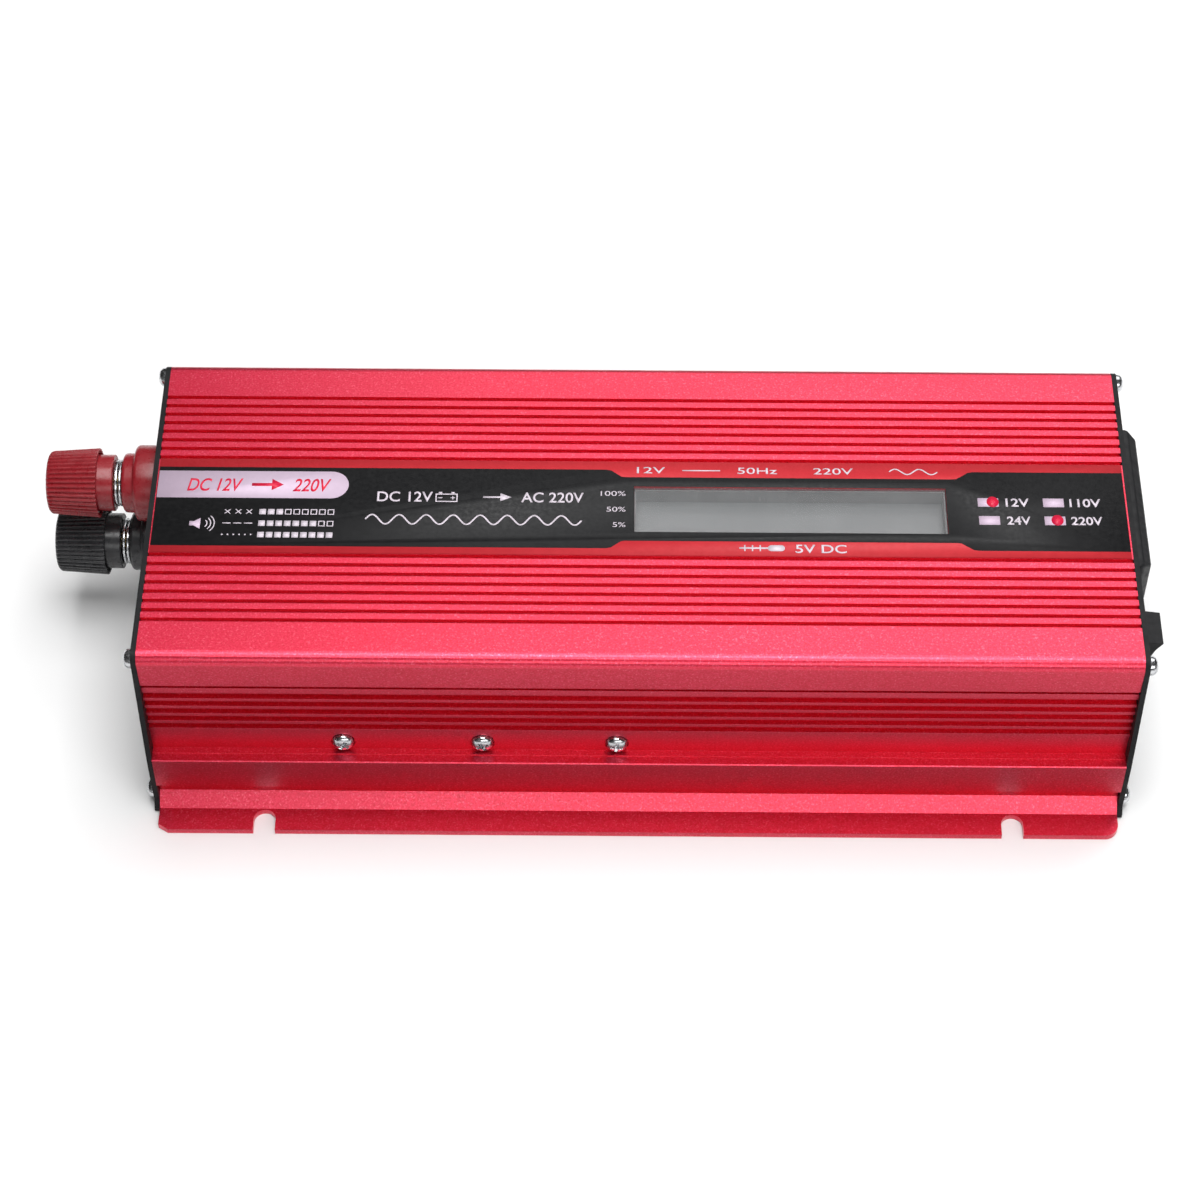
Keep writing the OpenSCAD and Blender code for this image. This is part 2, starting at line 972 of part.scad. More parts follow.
// Side view of the rocker about its pivot, as [distance out, height]
function rocker_outline() = [
    [6.6, rocker_half_h], [5.3, rocker_half_h - 3.2], [4.5, 0], [5.3, -rocker_half_h + 3.2],
    [6.6, -rocker_half_h], [1.2, -rocker_half_h], [-3.2, -5], [-4.5, -2], [-7, -1.2],
    [-7, 1.2], [-4.5, 2], [-3.2, 5], [1.2, rocker_half_h]
];

module switch_rocker() {
    color("#202022")
        translate([pivot_x, switch_y, switch_z])
            rotate([0, rocker_tilt, 0]) {
                rotate([90, 0, 0])
                    linear_extrude(2 * rocker_half_w, center = true)
                        polygon(rocker_outline());
                rod_y(-switch_body_half_w + 0.25, switch_body_half_w - 0.25, 0, 0, pivot_r);
            }
}

module switch_tabs() {
    color("#c9ccd1")
        for (dz = [-5, 5])
            block(
                [tab_x, switch_y - 0.4, switch_z + dz - 2.4],
                [plate_x - switch_depth, switch_y + 0.4, switch_z + dz + 2.4]
            );
}

// USB port

module usb_shell() {
    back = plate_x - usb_depth;
    half_y = usb_w / 2;
    half_z = usb_h / 2;
    color("#b9bcc0")
        translate([0, usb_y, usb_z])
            difference() {
                block([back, -half_y, -half_z], [plate_x + 0.4, half_y, half_z]);
                block(
                    [back + usb_wall, -half_y + usb_wall, -half_z + usb_wall],
                    [plate_x + 1, half_y - usb_wall, half_z - usb_wall]
                );
            }
}

module usb_tongue() {
    back = plate_x - usb_depth + usb_wall;
    color("#e8e8e8")
        block([back, usb_y - 5.5, usb_z + 0.2], [plate_x - 1.5, usb_y + 5.5, usb_z + 2]);
}

module usb_board() {
    back = plate_x - usb_depth;
    color("#1f5c33")
        block([back - board_t, usb_y - 11, usb_z - 8], [back, usb_y + 11, usb_z + 9]);
}

// Main board and what stands on it

module main_board() {
    color("#1f5c33")
        difference() {
            block([-board_half_l, -board_half_w, board_bottom], [board_half_l, board_half_w, board_top]);
            for (x = spacer_x)
                for (y = [-spacer_y, spacer_y])
                    translate([x, y, board_bottom - 1])
                        cylinder(h = board_t + 2, r = 1.6, $fn = 32);
        }
}

module board_spacers() {
    color("#b8923f")
        for (x = spacer_x)
            for (y = [-spacer_y, spacer_y])
                difference() {
                    translate([x, y, floor_t])
                        cylinder(h = board_bottom - floor_t, r = 3.2, $fn = 6);
                    translate([x, y, floor_t + 1])
                        cylinder(h = board_bottom, r = 1.5, $fn = 32);
                }
}

module board_screws() {
    color("#c9ccd1")
        for (x = spacer_x)
            for (y = [-spacer_y, spacer_y])
                translate([x, y, board_top])
                    rotate([0, 90, 0])
                        cross_screw(head_r, head_h, 1.45, 6);
}

// One ferrite core with a window on each side of its centre leg
module transformer_core() {
    difference() {
        block([-core_t / 2, -core_w / 2, core_bottom], [core_t / 2, core_w / 2, core_bottom + core_h]);
        for (turn = [0, 180])
            rotate([0, 0, turn])
                block(
                    [-core_t, centre_leg_w / 2, core_window_bottom],
                    [core_t, centre_leg_w / 2 + core_window_w, core_window_bottom + core_window_h]
                );
    }
}

// Square tube around the centre leg, between heights z0 and z1
module around_leg(inner, outer, z0, z1) {
    half_x = core_t / 2;
    half_y = centre_leg_w / 2;
    difference() {
        block([-half_x - outer, -half_y - outer, z0], [half_x + outer, half_y + outer, z1]);
        block([-half_x - inner, -half_y - inner, z0 - 1], [half_x + inner, half_y + inner, z1 + 1]);
    }
}

module transformer_cores() {
    color("#3b3b3e")
        for (x = transformer_x)
            translate([x, 0, 0])
                transformer_core();
}

module transformer_bobbins() {
    low = core_window_bottom + 0.2;
    high = core_window_bottom + core_window_h - 0.2;
    flange_reach = core_window_w - 0.4;
    foot_x = 13;
    color("#26221f")
        for (x = transformer_x)
            translate([x, 0, 0]) {
                around_leg(bobbin_gap, bobbin_t, low, high);
                around_leg(bobbin_gap, flange_reach, low, low + bobbin_t);
                around_leg(bobbin_gap, flange_reach, high - bobbin_t, high);
                for (side = [-1, 1])
                    translate([side * foot_x, 0, 0])
                        block([-2.5, -12, board_top], [2.5, 12, low + 0.5]);
            }
}

module transformer_windings() {
    low = core_window_bottom + 0.2 + bobbin_t;
    high = core_window_bottom + core_window_h - 0.2 - bobbin_t;
    color("#c07f1d")
        for (x = transformer_x)
            translate([x, 0, 0])
                around_leg(bobbin_t, core_window_w - 1, low, high);
}

module standing_cylinder(x, y, r, h) {
    translate([x, y, board_top])
        cylinder(h = h, r = r, $fn = 48);
}

module input_capacitors() {
    color("#20242e")
        for (i = [0:3])
            standing_cylinder(-88, -20 + i * 17, 8, 26);
}

module bus_capacitors() {
    color("#20242e")
        for (y = [-13, 13])
            standing_cylinder(76, y, 12.5, 40);
}

module fuses() {
    color("#3f7d3a")
        for (i = [0:3])
            block([-77, -21 + i * 12, board_top], [-59, -16 + i * 12, board_top + 19]);
}

module choke_core() {
    color("#d8c23a")
        translate([choke[0], choke[1], choke_bottom])
            difference() {
                cylinder(h = choke_h, r = choke_r, $fn = 64);
                translate([0, 0, -1])
                    cylinder(h = choke_h + 2, r = choke_hole_r, $fn = 64);
            }
}

module choke_winding() {
    color("#c07f1d")
        translate([choke[0], choke[1], choke_bottom])
            for (turn = [0:30:330])
                rotate([0, 0, turn])
                    difference() {
                        block([choke_hole_r - 1.3, -0.6, -1.2], [choke_r + 1.3, 0.6, choke_h + 1.2]);
                        block([choke_hole_r - 0.1, -1, -0.1], [choke_r + 0.1, 1, choke_h + 0.1]);
                    }
}

// A row of power transistors that stand against a side wall
module transistors(places, side) {
    face = inner_y - strip_t;
    leg_y = side * (face - 2.5);
    for (x = places) {
        block(
            [x - transistor_half_w, side > 0 ? face - transistor_t : -face, transistor_bottom],
            [x + transistor_half_w, side > 0 ? face : -face + transistor_t, transistor_top]
        );
        for (leg = [-leg_pitch, 0, leg_pitch])
            block(
                [x + leg - 0.4, leg_y - 0.3, board_top],
                [x + leg + 0.4, leg_y + 0.3, transistor_bottom + eps]
            );
    }
}

module front_transistors() {
    color("#2b2b2e")
        transistors(front_transistor_x, -1);
}

module rear_transistors() {
    color("#2b2b2e")
        transistors(rear_transistor_x, 1);
}

module clamp_bar(x0, x1, side, holes) {
    difference() {
        block(
            [x0, side > 0 ? bar_y : -bar_y - bar_t, clamp_z - 3.3],
            [x1, side > 0 ? bar_y + bar_t : -bar_y, clamp_z + 3.3]
        );
        for (x = holes)
            rod_y(-half_w, half_w, x, clamp_z, clamp_bar_hole_r);
    }
}

module clamp_bars() {
    color("#a9adb3") {
        clamp_bar(-103, 11, -1, front_clamp_x);
        clamp_bar(-103, 11, 1, front_clamp_x);
        clamp_bar(26, 94, 1, [60]);
    }
}

module insulating_strip(x0, x1, side, holes) {
    difference() {
        block(
            [x0, side > 0 ? inner_y - strip_t : -inner_y, strip_bottom],
            [x1, side > 0 ? inner_y : -inner_y + strip_t, strip_top]
        );
        for (x = holes)
            rod_y(-half_w, half_w, x, clamp_z, screw_clear_r);
    }
}

module insulating_strips() {
    color("#9aa0a6") {
        insulating_strip(-104, 12, -1, front_clamp_x);
        insulating_strip(-104, 12, 1, front_clamp_x);
        insulating_strip(25, 95, 1, [60]);
    }
}

module driver_board() {
    color("#1f5c33")
        block([54, 30, board_top], [82, 31.6, board_top + 28]);
}

module driver_chips() {
    color("#2b2b2e")
        for (z = [board_top + 6, board_top + 17])
            block([59, 27.4, z], [78, 30, z + 7]);
}

module buzzer() {
    color("#1b1b1d")
        difference() {
            standing_cylinder(98, -6, 6, 9);
            translate([98, -6, board_top + 7])
                cylinder(h = 4, r = 1, $fn = 24);
        }
}

// Internal leads

module lug(reach) {
    x0 = end_plate_t + insulator_t;
    difference() {
        union() {
            rod_x(x0, x0 + lug_t, 0, 0, 6);
            block([x0, 0, -3.5], [x0 + lug_t, reach, 3.5]);
        }
        rod_x(x0 - 1, x0 + lug_t + 1, 0, 0, stud_r + 0.1);
    }
}

module post_lead(p, c) {
    at_post(p)
        lug(lug_reach);
    lead(c, lead_r, [0, 1, 1]);
}

module red_lead() {
    start = [lug_x, red_post[0] + lug_reach - 1, red_post[1]];
    color("#a01c2a")
        post_lead(red_post, [start, start + [0, 9, 0], [-108, 41, 42], [-108, 41, board_top]]);
}

module black_lead() {
    start = [lug_x, black_post[0] + lug_reach - 1, black_post[1]];
    color("#1b1b1d")
        post_lead(black_post, [start, start + [0, 7, 0], [-107, 27, 30], [-107, 27, board_top]]);
}

module ac_leads() {
    tab = plate_x - outlet_body_depth - 4;
    color("#6b4a2c")
        for (side = [-1, 1])
            lead(
                [
                    [tab, outlet_y + side * line_dy, outlet_z + line_dz],
                    [tab - 9, outlet_y + side * line_dy, outlet_z + line_dz],
                    [109.5, outlet_y + side * 5, 24],
                    [109.5, outlet_y + side * 5, board_top]
                ],
                1.3
            );
    color("#2f5f9e")
        for (dz = [-5, 5])
            lead(
                [
                    [tab_x, switch_y, switch_z + dz],
                    [tab_x - 8, switch_y, switch_z + dz],
                    [109, switch_y + dz * 0.6, 24],
                    [109, switch_y + dz * 0.6, board_top]
                ],
                1.1
            );
}

module fan_lead() {
    color("#b03030")
        lead(
            [
                [-half_l + fan_depth, fan_y - 16, fan_z - 18],
                [-half_l + fan_depth + 6, fan_y - 16, fan_z - 18],
                [-109, fan_y - 16, 20],
                [-109, fan_y - 16, board_top]
            ],
            1.1
        );
}

module display_cable() {
    flat = [[-5, -0.4], [5, -0.4], [5, 0.4], [-5, 0.4]];
    edge_y = window_y - window_w / 2 - display_board_rim;
    edge_z = case_h - recess_depth - panel_t - board_t / 2;
    color("#8f9499")
        swept(
            [[88, edge_y, edge_z], [88, -32, edge_z], [88, -34, 40], [88, -34, board_top]],
            flat,
            [1, 0, 0]
        );
}

top_shell();
base_plate();
dc_end_plate();
ac_end_plate();
dc_plate_screws();
ac_plate_screws();
front_clamp_screws();
rear_clamp_screws();
face_label();
display_window();
display_surround();
display_panel();
display_board();
red_post_base();
red_post_stud();
red_post_insulator();
red_post_nut();
red_post_washers();
red_knob();
black_post_base();
black_post_stud();
black_post_insulator();
black_post_nut();
black_post_washers();
black_knob();
fan_frame();
fan_rotor();
fan_screws();
fan_nuts();
outlet_housing();
outlet_contacts();
switch_housing();
switch_rocker();
switch_tabs();
usb_shell();
usb_tongue();
usb_board();
main_board();
board_spacers();
board_screws();
transformer_cores();
transformer_bobbins();
transformer_windings();
input_capacitors();
bus_capacitors();
fuses();
choke_core();
choke_winding();
front_transistors();
rear_transistors();
clamp_bars();
insulating_strips();
driver_board();
driver_chips();
buzzer();
red_lead();
black_lead();
ac_leads();
fan_lead();
display_cable();
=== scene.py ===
"""Looks of a power inverter: a red extruded case with black end plates, two binding posts,
a printed label with a display window, a mains outlet, a rocker switch and a USB port.

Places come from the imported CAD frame. Sizes written with MM are in millimetres."""
import json
import math

import bmesh
import bpy
from mathutils import Matrix, Vector


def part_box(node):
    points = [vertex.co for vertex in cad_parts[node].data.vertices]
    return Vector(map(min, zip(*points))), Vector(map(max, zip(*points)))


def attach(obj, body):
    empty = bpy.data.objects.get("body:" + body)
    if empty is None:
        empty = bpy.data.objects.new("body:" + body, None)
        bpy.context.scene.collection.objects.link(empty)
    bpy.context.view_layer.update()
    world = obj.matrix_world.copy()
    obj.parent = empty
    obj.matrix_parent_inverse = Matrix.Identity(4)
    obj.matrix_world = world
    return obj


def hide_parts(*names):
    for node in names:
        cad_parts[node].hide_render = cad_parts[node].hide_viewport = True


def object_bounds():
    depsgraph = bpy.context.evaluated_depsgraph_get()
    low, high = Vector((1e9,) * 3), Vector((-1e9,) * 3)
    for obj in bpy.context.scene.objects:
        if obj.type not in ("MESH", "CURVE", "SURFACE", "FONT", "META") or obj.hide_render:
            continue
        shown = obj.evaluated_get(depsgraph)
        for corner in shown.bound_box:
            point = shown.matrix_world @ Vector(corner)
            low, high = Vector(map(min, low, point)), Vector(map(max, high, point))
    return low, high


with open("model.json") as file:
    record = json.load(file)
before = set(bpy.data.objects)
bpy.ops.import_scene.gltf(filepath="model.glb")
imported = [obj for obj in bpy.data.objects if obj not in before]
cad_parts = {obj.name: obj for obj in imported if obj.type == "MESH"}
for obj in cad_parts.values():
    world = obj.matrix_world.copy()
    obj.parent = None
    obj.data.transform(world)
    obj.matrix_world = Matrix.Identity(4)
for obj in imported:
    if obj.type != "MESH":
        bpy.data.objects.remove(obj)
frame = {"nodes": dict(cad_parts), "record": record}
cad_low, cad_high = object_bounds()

MM = 0.001
TAU = 2 * math.pi


# Materials ---------------------------------------------------------------------------------

class Finish:
    """A Principled material whose colour, roughness and bump are varied by procedural noise."""

    def __init__(self, name, colour, metallic=0.0, roughness=0.5, specular=0.5, coat=0.0,
                 coat_roughness=0.1, alpha=1.0):
        self.material = bpy.data.materials.new(name)
        self.material.use_nodes = True
        self.nodes = self.material.node_tree.nodes
        self.links = self.material.node_tree.links
        self.shader = self.nodes["Principled BSDF"]
        self.colour = colour
        self.set("Base Color", (*colour, 1))
        self.set("Metallic", metallic)
        self.set("Roughness", roughness)
        self.set("Specular IOR Level", specular)
        self.set("Coat Weight", coat)
        self.set("Coat Roughness", coat_roughness)
        self.set("Alpha", alpha)
        self.place = self.nodes.new("ShaderNodeTexCoord").outputs["Object"]
        self.heights = []

    def set(self, socket, value):
        self.shader.inputs[socket].default_value = value

    def noise(self, grain, detail=2.0, stretch=(1, 1, 1)):
        """Noise with features about grain metres across, longer where stretch is above 1."""
        mapping = self.nodes.new("ShaderNodeMapping")
        mapping.inputs["Scale"].default_value = [1 / s for s in stretch]
        self.links.new(self.place, mapping.inputs["Vector"])
        noise = self.nodes.new("ShaderNodeTexNoise")
        noise.inputs["Scale"].default_value = 1 / grain
        noise.inputs["Detail"].default_value = detail
        self.links.new(mapping.outputs["Vector"], noise.inputs["Vector"])
        return noise.outputs["Fac"]

    def remap(self, value, low, high, start=0.3, stop=0.7):
        node = self.nodes.new("ShaderNodeMapRange")
        node.inputs["From Min"].default_value = start
        node.inputs["From Max"].default_value = stop
        node.inputs["To Min"].default_value = low
        node.inputs["To Max"].default_value = high
        self.links.new(value, node.inputs["Value"])
        return node.outputs["Result"]

    def tint(self, value, other, low=0.0, high=1.0, start=0.3, stop=0.7):
        """Blends the base colour towards another colour where the value is high."""
        mix = self.nodes.new("ShaderNodeMix")
        mix.data_type = "RGBA"
        base = self.shader.inputs["Base Color"]
        if base.is_linked:
            self.links.new(base.links[0].from_socket, mix.inputs["A"])
        else:
            mix.inputs["A"].default_value = (*self.colour, 1)
        mix.inputs["B"].default_value = (*other, 1)
        self.links.new(self.remap(value, low, high, start, stop), mix.inputs["Factor"])
        self.links.new(mix.outputs["Result"], base)
        return self

    def roughen(self, value, low, high):
        self.links.new(self.remap(value, low, high), self.shader.inputs["Roughness"])
        return self

    def bump(self, value, height, strength=1.0):
        """Adds relief of the given height in metres on top of any relief that is already there."""
        node = self.nodes.new("ShaderNodeBump")
        node.inputs["Strength"].default_value = strength
        node.inputs["Distance"].default_value = height
        self.links.new(value, node.inputs["Height"])
        normal = self.shader.inputs["Normal"]
        if normal.is_linked:
            self.links.new(normal.links[0].from_socket, node.inputs["Normal"])
        self.links.new(node.outputs["Normal"], normal)
        return self


def anodised_red():
    """Sand-blasted aluminium under a red anodised film, with faint draw lines along X, and painted
    glints: bright pink specks tinted into the colour.
    """
    f = Finish("anodised_red", (0.61, 0.010, 0.032), metallic=1.0, roughness=0.40,
               coat=0.65, coat_roughness=0.30)
    grain = f.noise(0.55 * MM, 3)
    painted_glints = f.noise(0.6 * MM, 4)
    lines = f.noise(0.5 * MM, 2, stretch=(90, 1, 1))
    patches = f.noise(24 * MM, 3, stretch=(3, 1, 1))
    f.tint(grain, (0.80, 0.045, 0.115), 0.0, 0.8)
    # painted highlight: bright pink specks tinted into the base colour stand for glints off the
    # grain
    f.tint(painted_glints, (0.95, 0.20, 0.30), 0.0, 0.5, start=0.56, stop=0.72)
    f.tint(patches, (0.60, 0.010, 0.040), 0.0, 0.3)
    f.roughen(f.noise(0.9 * MM, 3), 0.34, 0.46)
    f.bump(lines, 0.010 * MM, 0.5)
    f.bump(grain, 0.045 * MM, 0.8)
    return f.material


def powder_black():
    """Black powder coat with a fine orange-peel texture."""
    f = Finish("powder_black", (0.006, 0.006, 0.007), roughness=0.55, specular=0.2)
    f.tint(f.noise(6 * MM, 3), (0.012, 0.012, 0.013))
    f.roughen(f.noise(1.6 * MM, 2), 0.48, 0.64)
    f.bump(f.noise(0.7 * MM, 2), 0.05 * MM, 0.5)
    return f.material


def plated_steel(name="plated_steel", colour=(0.72, 0.73, 0.75)):
    """Bright zinc plating with light handling marks."""
    f = Finish(name, colour, metallic=1.0, roughness=0.2)
    f.tint(f.noise(1.8 * MM, 4), tuple(c * 0.72 for c in colour))
    f.roughen(f.noise(0.8 * MM, 4), 0.12, 0.34)
    f.bump(f.noise(0.25 * MM, 2), 0.01 * MM, 0.4)
    return f.material


def moulded(name, colour, shine=0.3, grain=0.6 * MM, relief=0.02 * MM, fleck=None, specular=0.5):
    """Injection-moulded plastic: slightly uneven gloss, flow marks and a fine skin."""
    f = Finish(name, colour, roughness=shine, specular=specular)
    f.tint(f.noise(5 * MM, 3), fleck or tuple(min(1, c * 1.5 + 0.004) for c in colour), 0, 0.7)
    f.roughen(f.noise(2.2 * MM, 3), shine * 0.8, shine * 1.35)
    f.bump(f.noise(grain, 2), relief, 0.4)
    return f.material


def printed(name, colour, other=None, shine=0.36):
    """Ink or dyed film on the label: flat colour with a faint mottle and dust."""
    f = Finish(name, colour, roughness=shine, specular=0.3)
    f.tint(f.noise(2.4 * MM, 5), other or tuple(c * 0.86 for c in colour), 0, 0.8)
    f.roughen(f.noise(1.2 * MM, 3), shine * 0.85, shine * 1.25)
    f.bump(f.noise(0.5 * MM, 2), 0.006 * MM, 0.4)
    return f.material


def circuit_green():
    """Green solder mask with pale pads and darker copper pours under it."""
    f = Finish("circuit_green", (0.012, 0.12, 0.035), roughness=0.3)
    f.tint(f.noise(4 * MM, 1), (0.02, 0.20, 0.06), start=0.48, stop=0.52)
    f.bump(f.noise(1.1 * MM, 1), 0.02 * MM, 0.5)
    return f.material


def wound_copper():
    """Enamelled wire in close turns."""
    f = Finish("wound_copper", (0.52, 0.20, 0.05), metallic=0.85, roughness=0.3)
    turns = f.noise(0.8 * MM, 1, stretch=(40, 40, 1))
    f.tint(turns, (0.28, 0.09, 0.02))
    f.bump(turns, 0.3 * MM, 0.8)
    return f.material


def brass():
    """Turned brass."""
    f = Finish("brass", (0.72, 0.50, 0.20), metallic=1.0, roughness=0.28)
    f.tint(f.noise(1.5 * MM, 3), (0.55, 0.36, 0.13))
    f.roughen(f.noise(0.7 * MM, 3), 0.2, 0.42)
    f.bump(f.noise(0.4 * MM, 1, stretch=(0.2, 6, 6)), 0.02 * MM, 0.6)
    return f.material


def display_face():
    """A switched-off liquid-crystal panel."""
    f = Finish("display_face", (0.13, 0.135, 0.138), roughness=0.35, coat=0.2, coat_roughness=0.12)
    f.tint(f.noise(14 * MM, 2, stretch=(3, 1, 1)), (0.15, 0.155, 0.158))
    f.roughen(f.noise(1.5 * MM, 2), 0.3, 0.42)
    f.bump(f.noise(0.3 * MM, 1), 0.004 * MM, 0.3)
    return f.material


def clear_film():
    """The clear part of the label over the display, with a slight haze."""
    f = Finish("clear_film", (0.62, 0.63, 0.64), roughness=0.12, alpha=0.09)
    f.tint(f.noise(9 * MM, 3), (0.52, 0.53, 0.54))
    f.roughen(f.noise(3 * MM, 3), 0.08, 0.2)
    f.bump(f.noise(5 * MM, 1), 0.01 * MM, 0.3)
    return f.material


FINISH = {
    "anodised_red": anodised_red(),
    "black_plate": powder_black(),
    "zinc_steel": plated_steel(),
    "label_film": printed("label_red", (0.60, 0.030, 0.042), (0.54, 0.024, 0.034), 0.5),
    "label_black": printed("label_black", (0.011, 0.011, 0.012), (0.016, 0.016, 0.017), 0.56),
    "label_pink": printed("label_pink", (0.70, 0.55, 0.69), (0.65, 0.51, 0.64), 0.5),
    "label_white": printed("label_white", (0.74, 0.66, 0.74), (0.60, 0.54, 0.60)),
    "label_spot": printed("label_spot", (0.62, 0.012, 0.06), (0.78, 0.02, 0.05)),
    "display_glass": clear_film(),
    "display_green": display_face(),
    "display_frame": moulded("display_frame", (0.11, 0.112, 0.115), 0.5),
    "circuit_board": circuit_green(),
    "red_plastic": moulded("red_plastic", (0.25, 0.012, 0.018), 0.27, fleck=(0.32, 0.020, 0.028)),
    "black_plastic": moulded("black_plastic", (0.026, 0.026, 0.028), 0.27),
    "socket_plastic": moulded("socket_plastic", (0.006, 0.006, 0.007), 0.44, 0.35 * MM, 0.03 * MM,
                              specular=0.25),
    "fan_plastic": moulded("fan_plastic", (0.018, 0.018, 0.020), 0.5, 0.5 * MM, 0.03 * MM),
    "white_plastic": moulded("white_plastic", (0.75, 0.75, 0.72), 0.4),
    "chip_black": moulded("chip_black", (0.022, 0.022, 0.024), 0.55, 0.3 * MM, 0.02 * MM),
    "fuse_plastic": moulded("fuse_plastic", (0.03, 0.28, 0.05), 0.2),
    "capacitor_sleeve": moulded("capacitor_sleeve", (0.015, 0.02, 0.045), 0.3),
    "ferrite": moulded("ferrite", (0.045, 0.045, 0.05), 0.6, 0.25 * MM, 0.04 * MM),
    "yellow_core": moulded("yellow_core", (0.62, 0.45, 0.05), 0.45),
    "pad_rubber": moulded("pad_rubber", (0.30, 0.31, 0.33), 0.7),
    "lead_sheath": moulded("lead_sheath", (0.22, 0.10, 0.06), 0.4),
    "ribbon": moulded("ribbon", (0.42, 0.43, 0.45), 0.45, 1.2 * MM, 0.05 * MM),
    "copper_wire": wound_copper(),
    "brass": brass(),
    "bare_aluminium": plated_steel("bare_aluminium", (0.60, 0.61, 0.63)),
}


# Mesh helpers ------------------------------------------------------------------------------

def piece(name, verts, faces, finish, slot, body="case", sharp_deg=35):
    """Makes a mesh object that rides on a body and shades smooth up to the given angle."""
    mesh = bpy.data.meshes.new(name)
    mesh.from_pydata([tuple(v) for v in verts], [], faces)
    mesh.validate()
    mesh.update()
    obj = bpy.data.objects.new(name, mesh)
    bpy.context.scene.collection.objects.link(obj)
    mesh.materials.append(FINISH[finish])
    mesh.polygons.foreach_set("use_smooth", [True] * len(mesh.polygons))
    mesh.set_sharp_from_angle(angle=math.radians(sharp_deg))
    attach(obj, body)
    return obj


def join(parts):
    """Joins (verts, faces) pairs into one pair."""
    verts, faces = [], []
    for more_verts, more_faces in parts:
        start = len(verts)
        verts += more_verts
        faces += [[start + i for i in face] for face in more_faces]
    return verts, faces


def placed(shape, matrix):
    verts, faces = shape
    return [matrix @ Vector(v) for v in verts], faces


def fillet(points, radii, steps=5, closed=False):
    """Rounds the corners of a polyline by one radius for each point; 0 keeps the corner."""
    result = []
    n = len(points)
    for i, point in enumerate(points):
        here = Vector(point)
        end = not closed and i in (0, n - 1)
        if end or radii[i] == 0:
            result.append(here)
            continue
        back = Vector(points[i - 1]) - here
        ahead = Vector(points[(i + 1) % n]) - here
        angle = back.angle(ahead)
        reach = min(radii[i] / math.tan(angle / 2), back.length * 0.49, ahead.length * 0.49)
        radius = reach * math.tan(angle / 2)
        start = here + back.normalized() * reach
        stop = here + ahead.normalized() * reach
        centre = here + (back.normalized() + ahead.normalized()).normalized() * (
            math.hypot(reach, radius))
        for k in range(steps + 1):
            t = k / steps
            arm = (start - centre).lerp(stop - centre, t)
            result.append(centre + arm.normalized() * radius)
    return result


def turned(profile, steps=96, ripple=None, ring=False):
    """Turns (out, radius) points about the -X axis. ring closes the profile on itself; otherwise
    its first and last points lie on the axis. ripple(out, radius, angle) changes the radius."""
    verts, faces, rows = [], [], []
    for out, radius in profile:
        if radius == 0:
            rows.append([len(verts)] * steps)
            verts.append(Vector((-out, 0, 0)))
            continue
        rows.append(list(range(len(verts), len(verts) + steps)))
        for k in range(steps):
            angle = TAU * k / steps
            r = radius + (ripple(out, radius, angle) if ripple else 0)
            verts.append(Vector((-out, r * math.cos(angle), r * math.sin(angle))))
    pairs = list(zip(rows, rows[1:]))
    if ring:
        pairs.append((rows[-1], rows[0]))
    for low, high in pairs:
        for k in range(steps):
            j = (k + 1) % steps
            corners = [low[k], high[k], high[j], low[j]]
            faces.append([c for i, c in enumerate(corners) if c not in corners[:i]])
    return verts, faces


def flat_shape(name, outlines, z, depth, finish, slot="print_ink", body="case"):
    """A thin raised print from closed outlines, where an outline inside another is a hole."""
    curve = bpy.data.curves.new(name, "CURVE")
    curve.dimensions = "2D"
    curve.fill_mode = "BOTH"
    curve.extrude = depth / 2
    for outline in outlines:
        spline = curve.splines.new("POLY")
        spline.points.add(len(outline) - 1)
        for point, (x, y) in zip(spline.points, outline):
            point.co = (x, y, 0, 1)
        spline.use_cyclic_u = True
    return from_curve(name, curve, Matrix.Translation((0, 0, z + depth / 2)), finish, slot, body)


def from_curve(name, curve, matrix, finish, slot, body):
    """Turns a curve or text block into a mesh piece."""
    maker = bpy.data.objects.new(name + "_maker", curve)
    bpy.context.scene.collection.objects.link(maker)
    bpy.context.view_layer.update()
    graph = bpy.context.evaluated_depsgraph_get()
    mesh = maker.evaluated_get(graph).to_mesh()
    verts = [matrix @ v.co for v in mesh.vertices]
    faces = [list(p.vertices) for p in mesh.polygons]
    bpy.data.objects.remove(maker)
    bpy.data.curves.remove(curve)
    obj = piece(name, verts, faces, finish, slot, body)
    weld(obj, 1e-6)
    return obj


def weld(obj, distance):
    """Joins doubled vertices in a made mesh."""
    work = bmesh.new()
    work.from_mesh(obj.data)
    bmesh.ops.remove_doubles(work, verts=work.verts, dist=distance)
    bmesh.ops.recalc_face_normals(work, faces=work.faces)
    work.to_mesh(obj.data)
    work.free()


def printed_text(name, text, x0, x1, y0, y1, finish="label_white", slant=0.0, weight=0.0):
    """Generic figures and signs printed to fill a box on the label."""
    curve = bpy.data.curves.new(name, "FONT")
    curve.body = text
    curve.size = 10
    curve.shear = slant
    curve.offset = weight
    curve.extrude = 0.5
    curve.resolution_u = 6
    obj = from_curve(name, curve, Matrix.Identity(4), finish, "print_ink", "case")
    xs = [v.co.x for v in obj.data.vertices]
    ys = [v.co.y for v in obj.data.vertices]
    for v in obj.data.vertices:
        v.co = (
            x0 + (v.co.x - min(xs)) / (max(xs) - min(xs)) * (x1 - x0),
            y0 + (v.co.y - min(ys)) / (max(ys) - min(ys)) * (y1 - y0),
            PRINT_Z + (0.5 + v.co.z) * INK,
        )
    return obj


def in_mm(points):
    return [(x * MM, y * MM) for x, y in points]


def rectangle(x0, x1, y0, y1):
    return [(x0, y0), (x1, y0), (x1, y1), (x0, y1)]


def disc(x, y, rx, ry=None, steps=32):
    ry = ry or rx
    return [(x + rx * math.cos(TAU * k / steps), y + ry * math.sin(TAU * k / steps))
            for k in range(steps)]


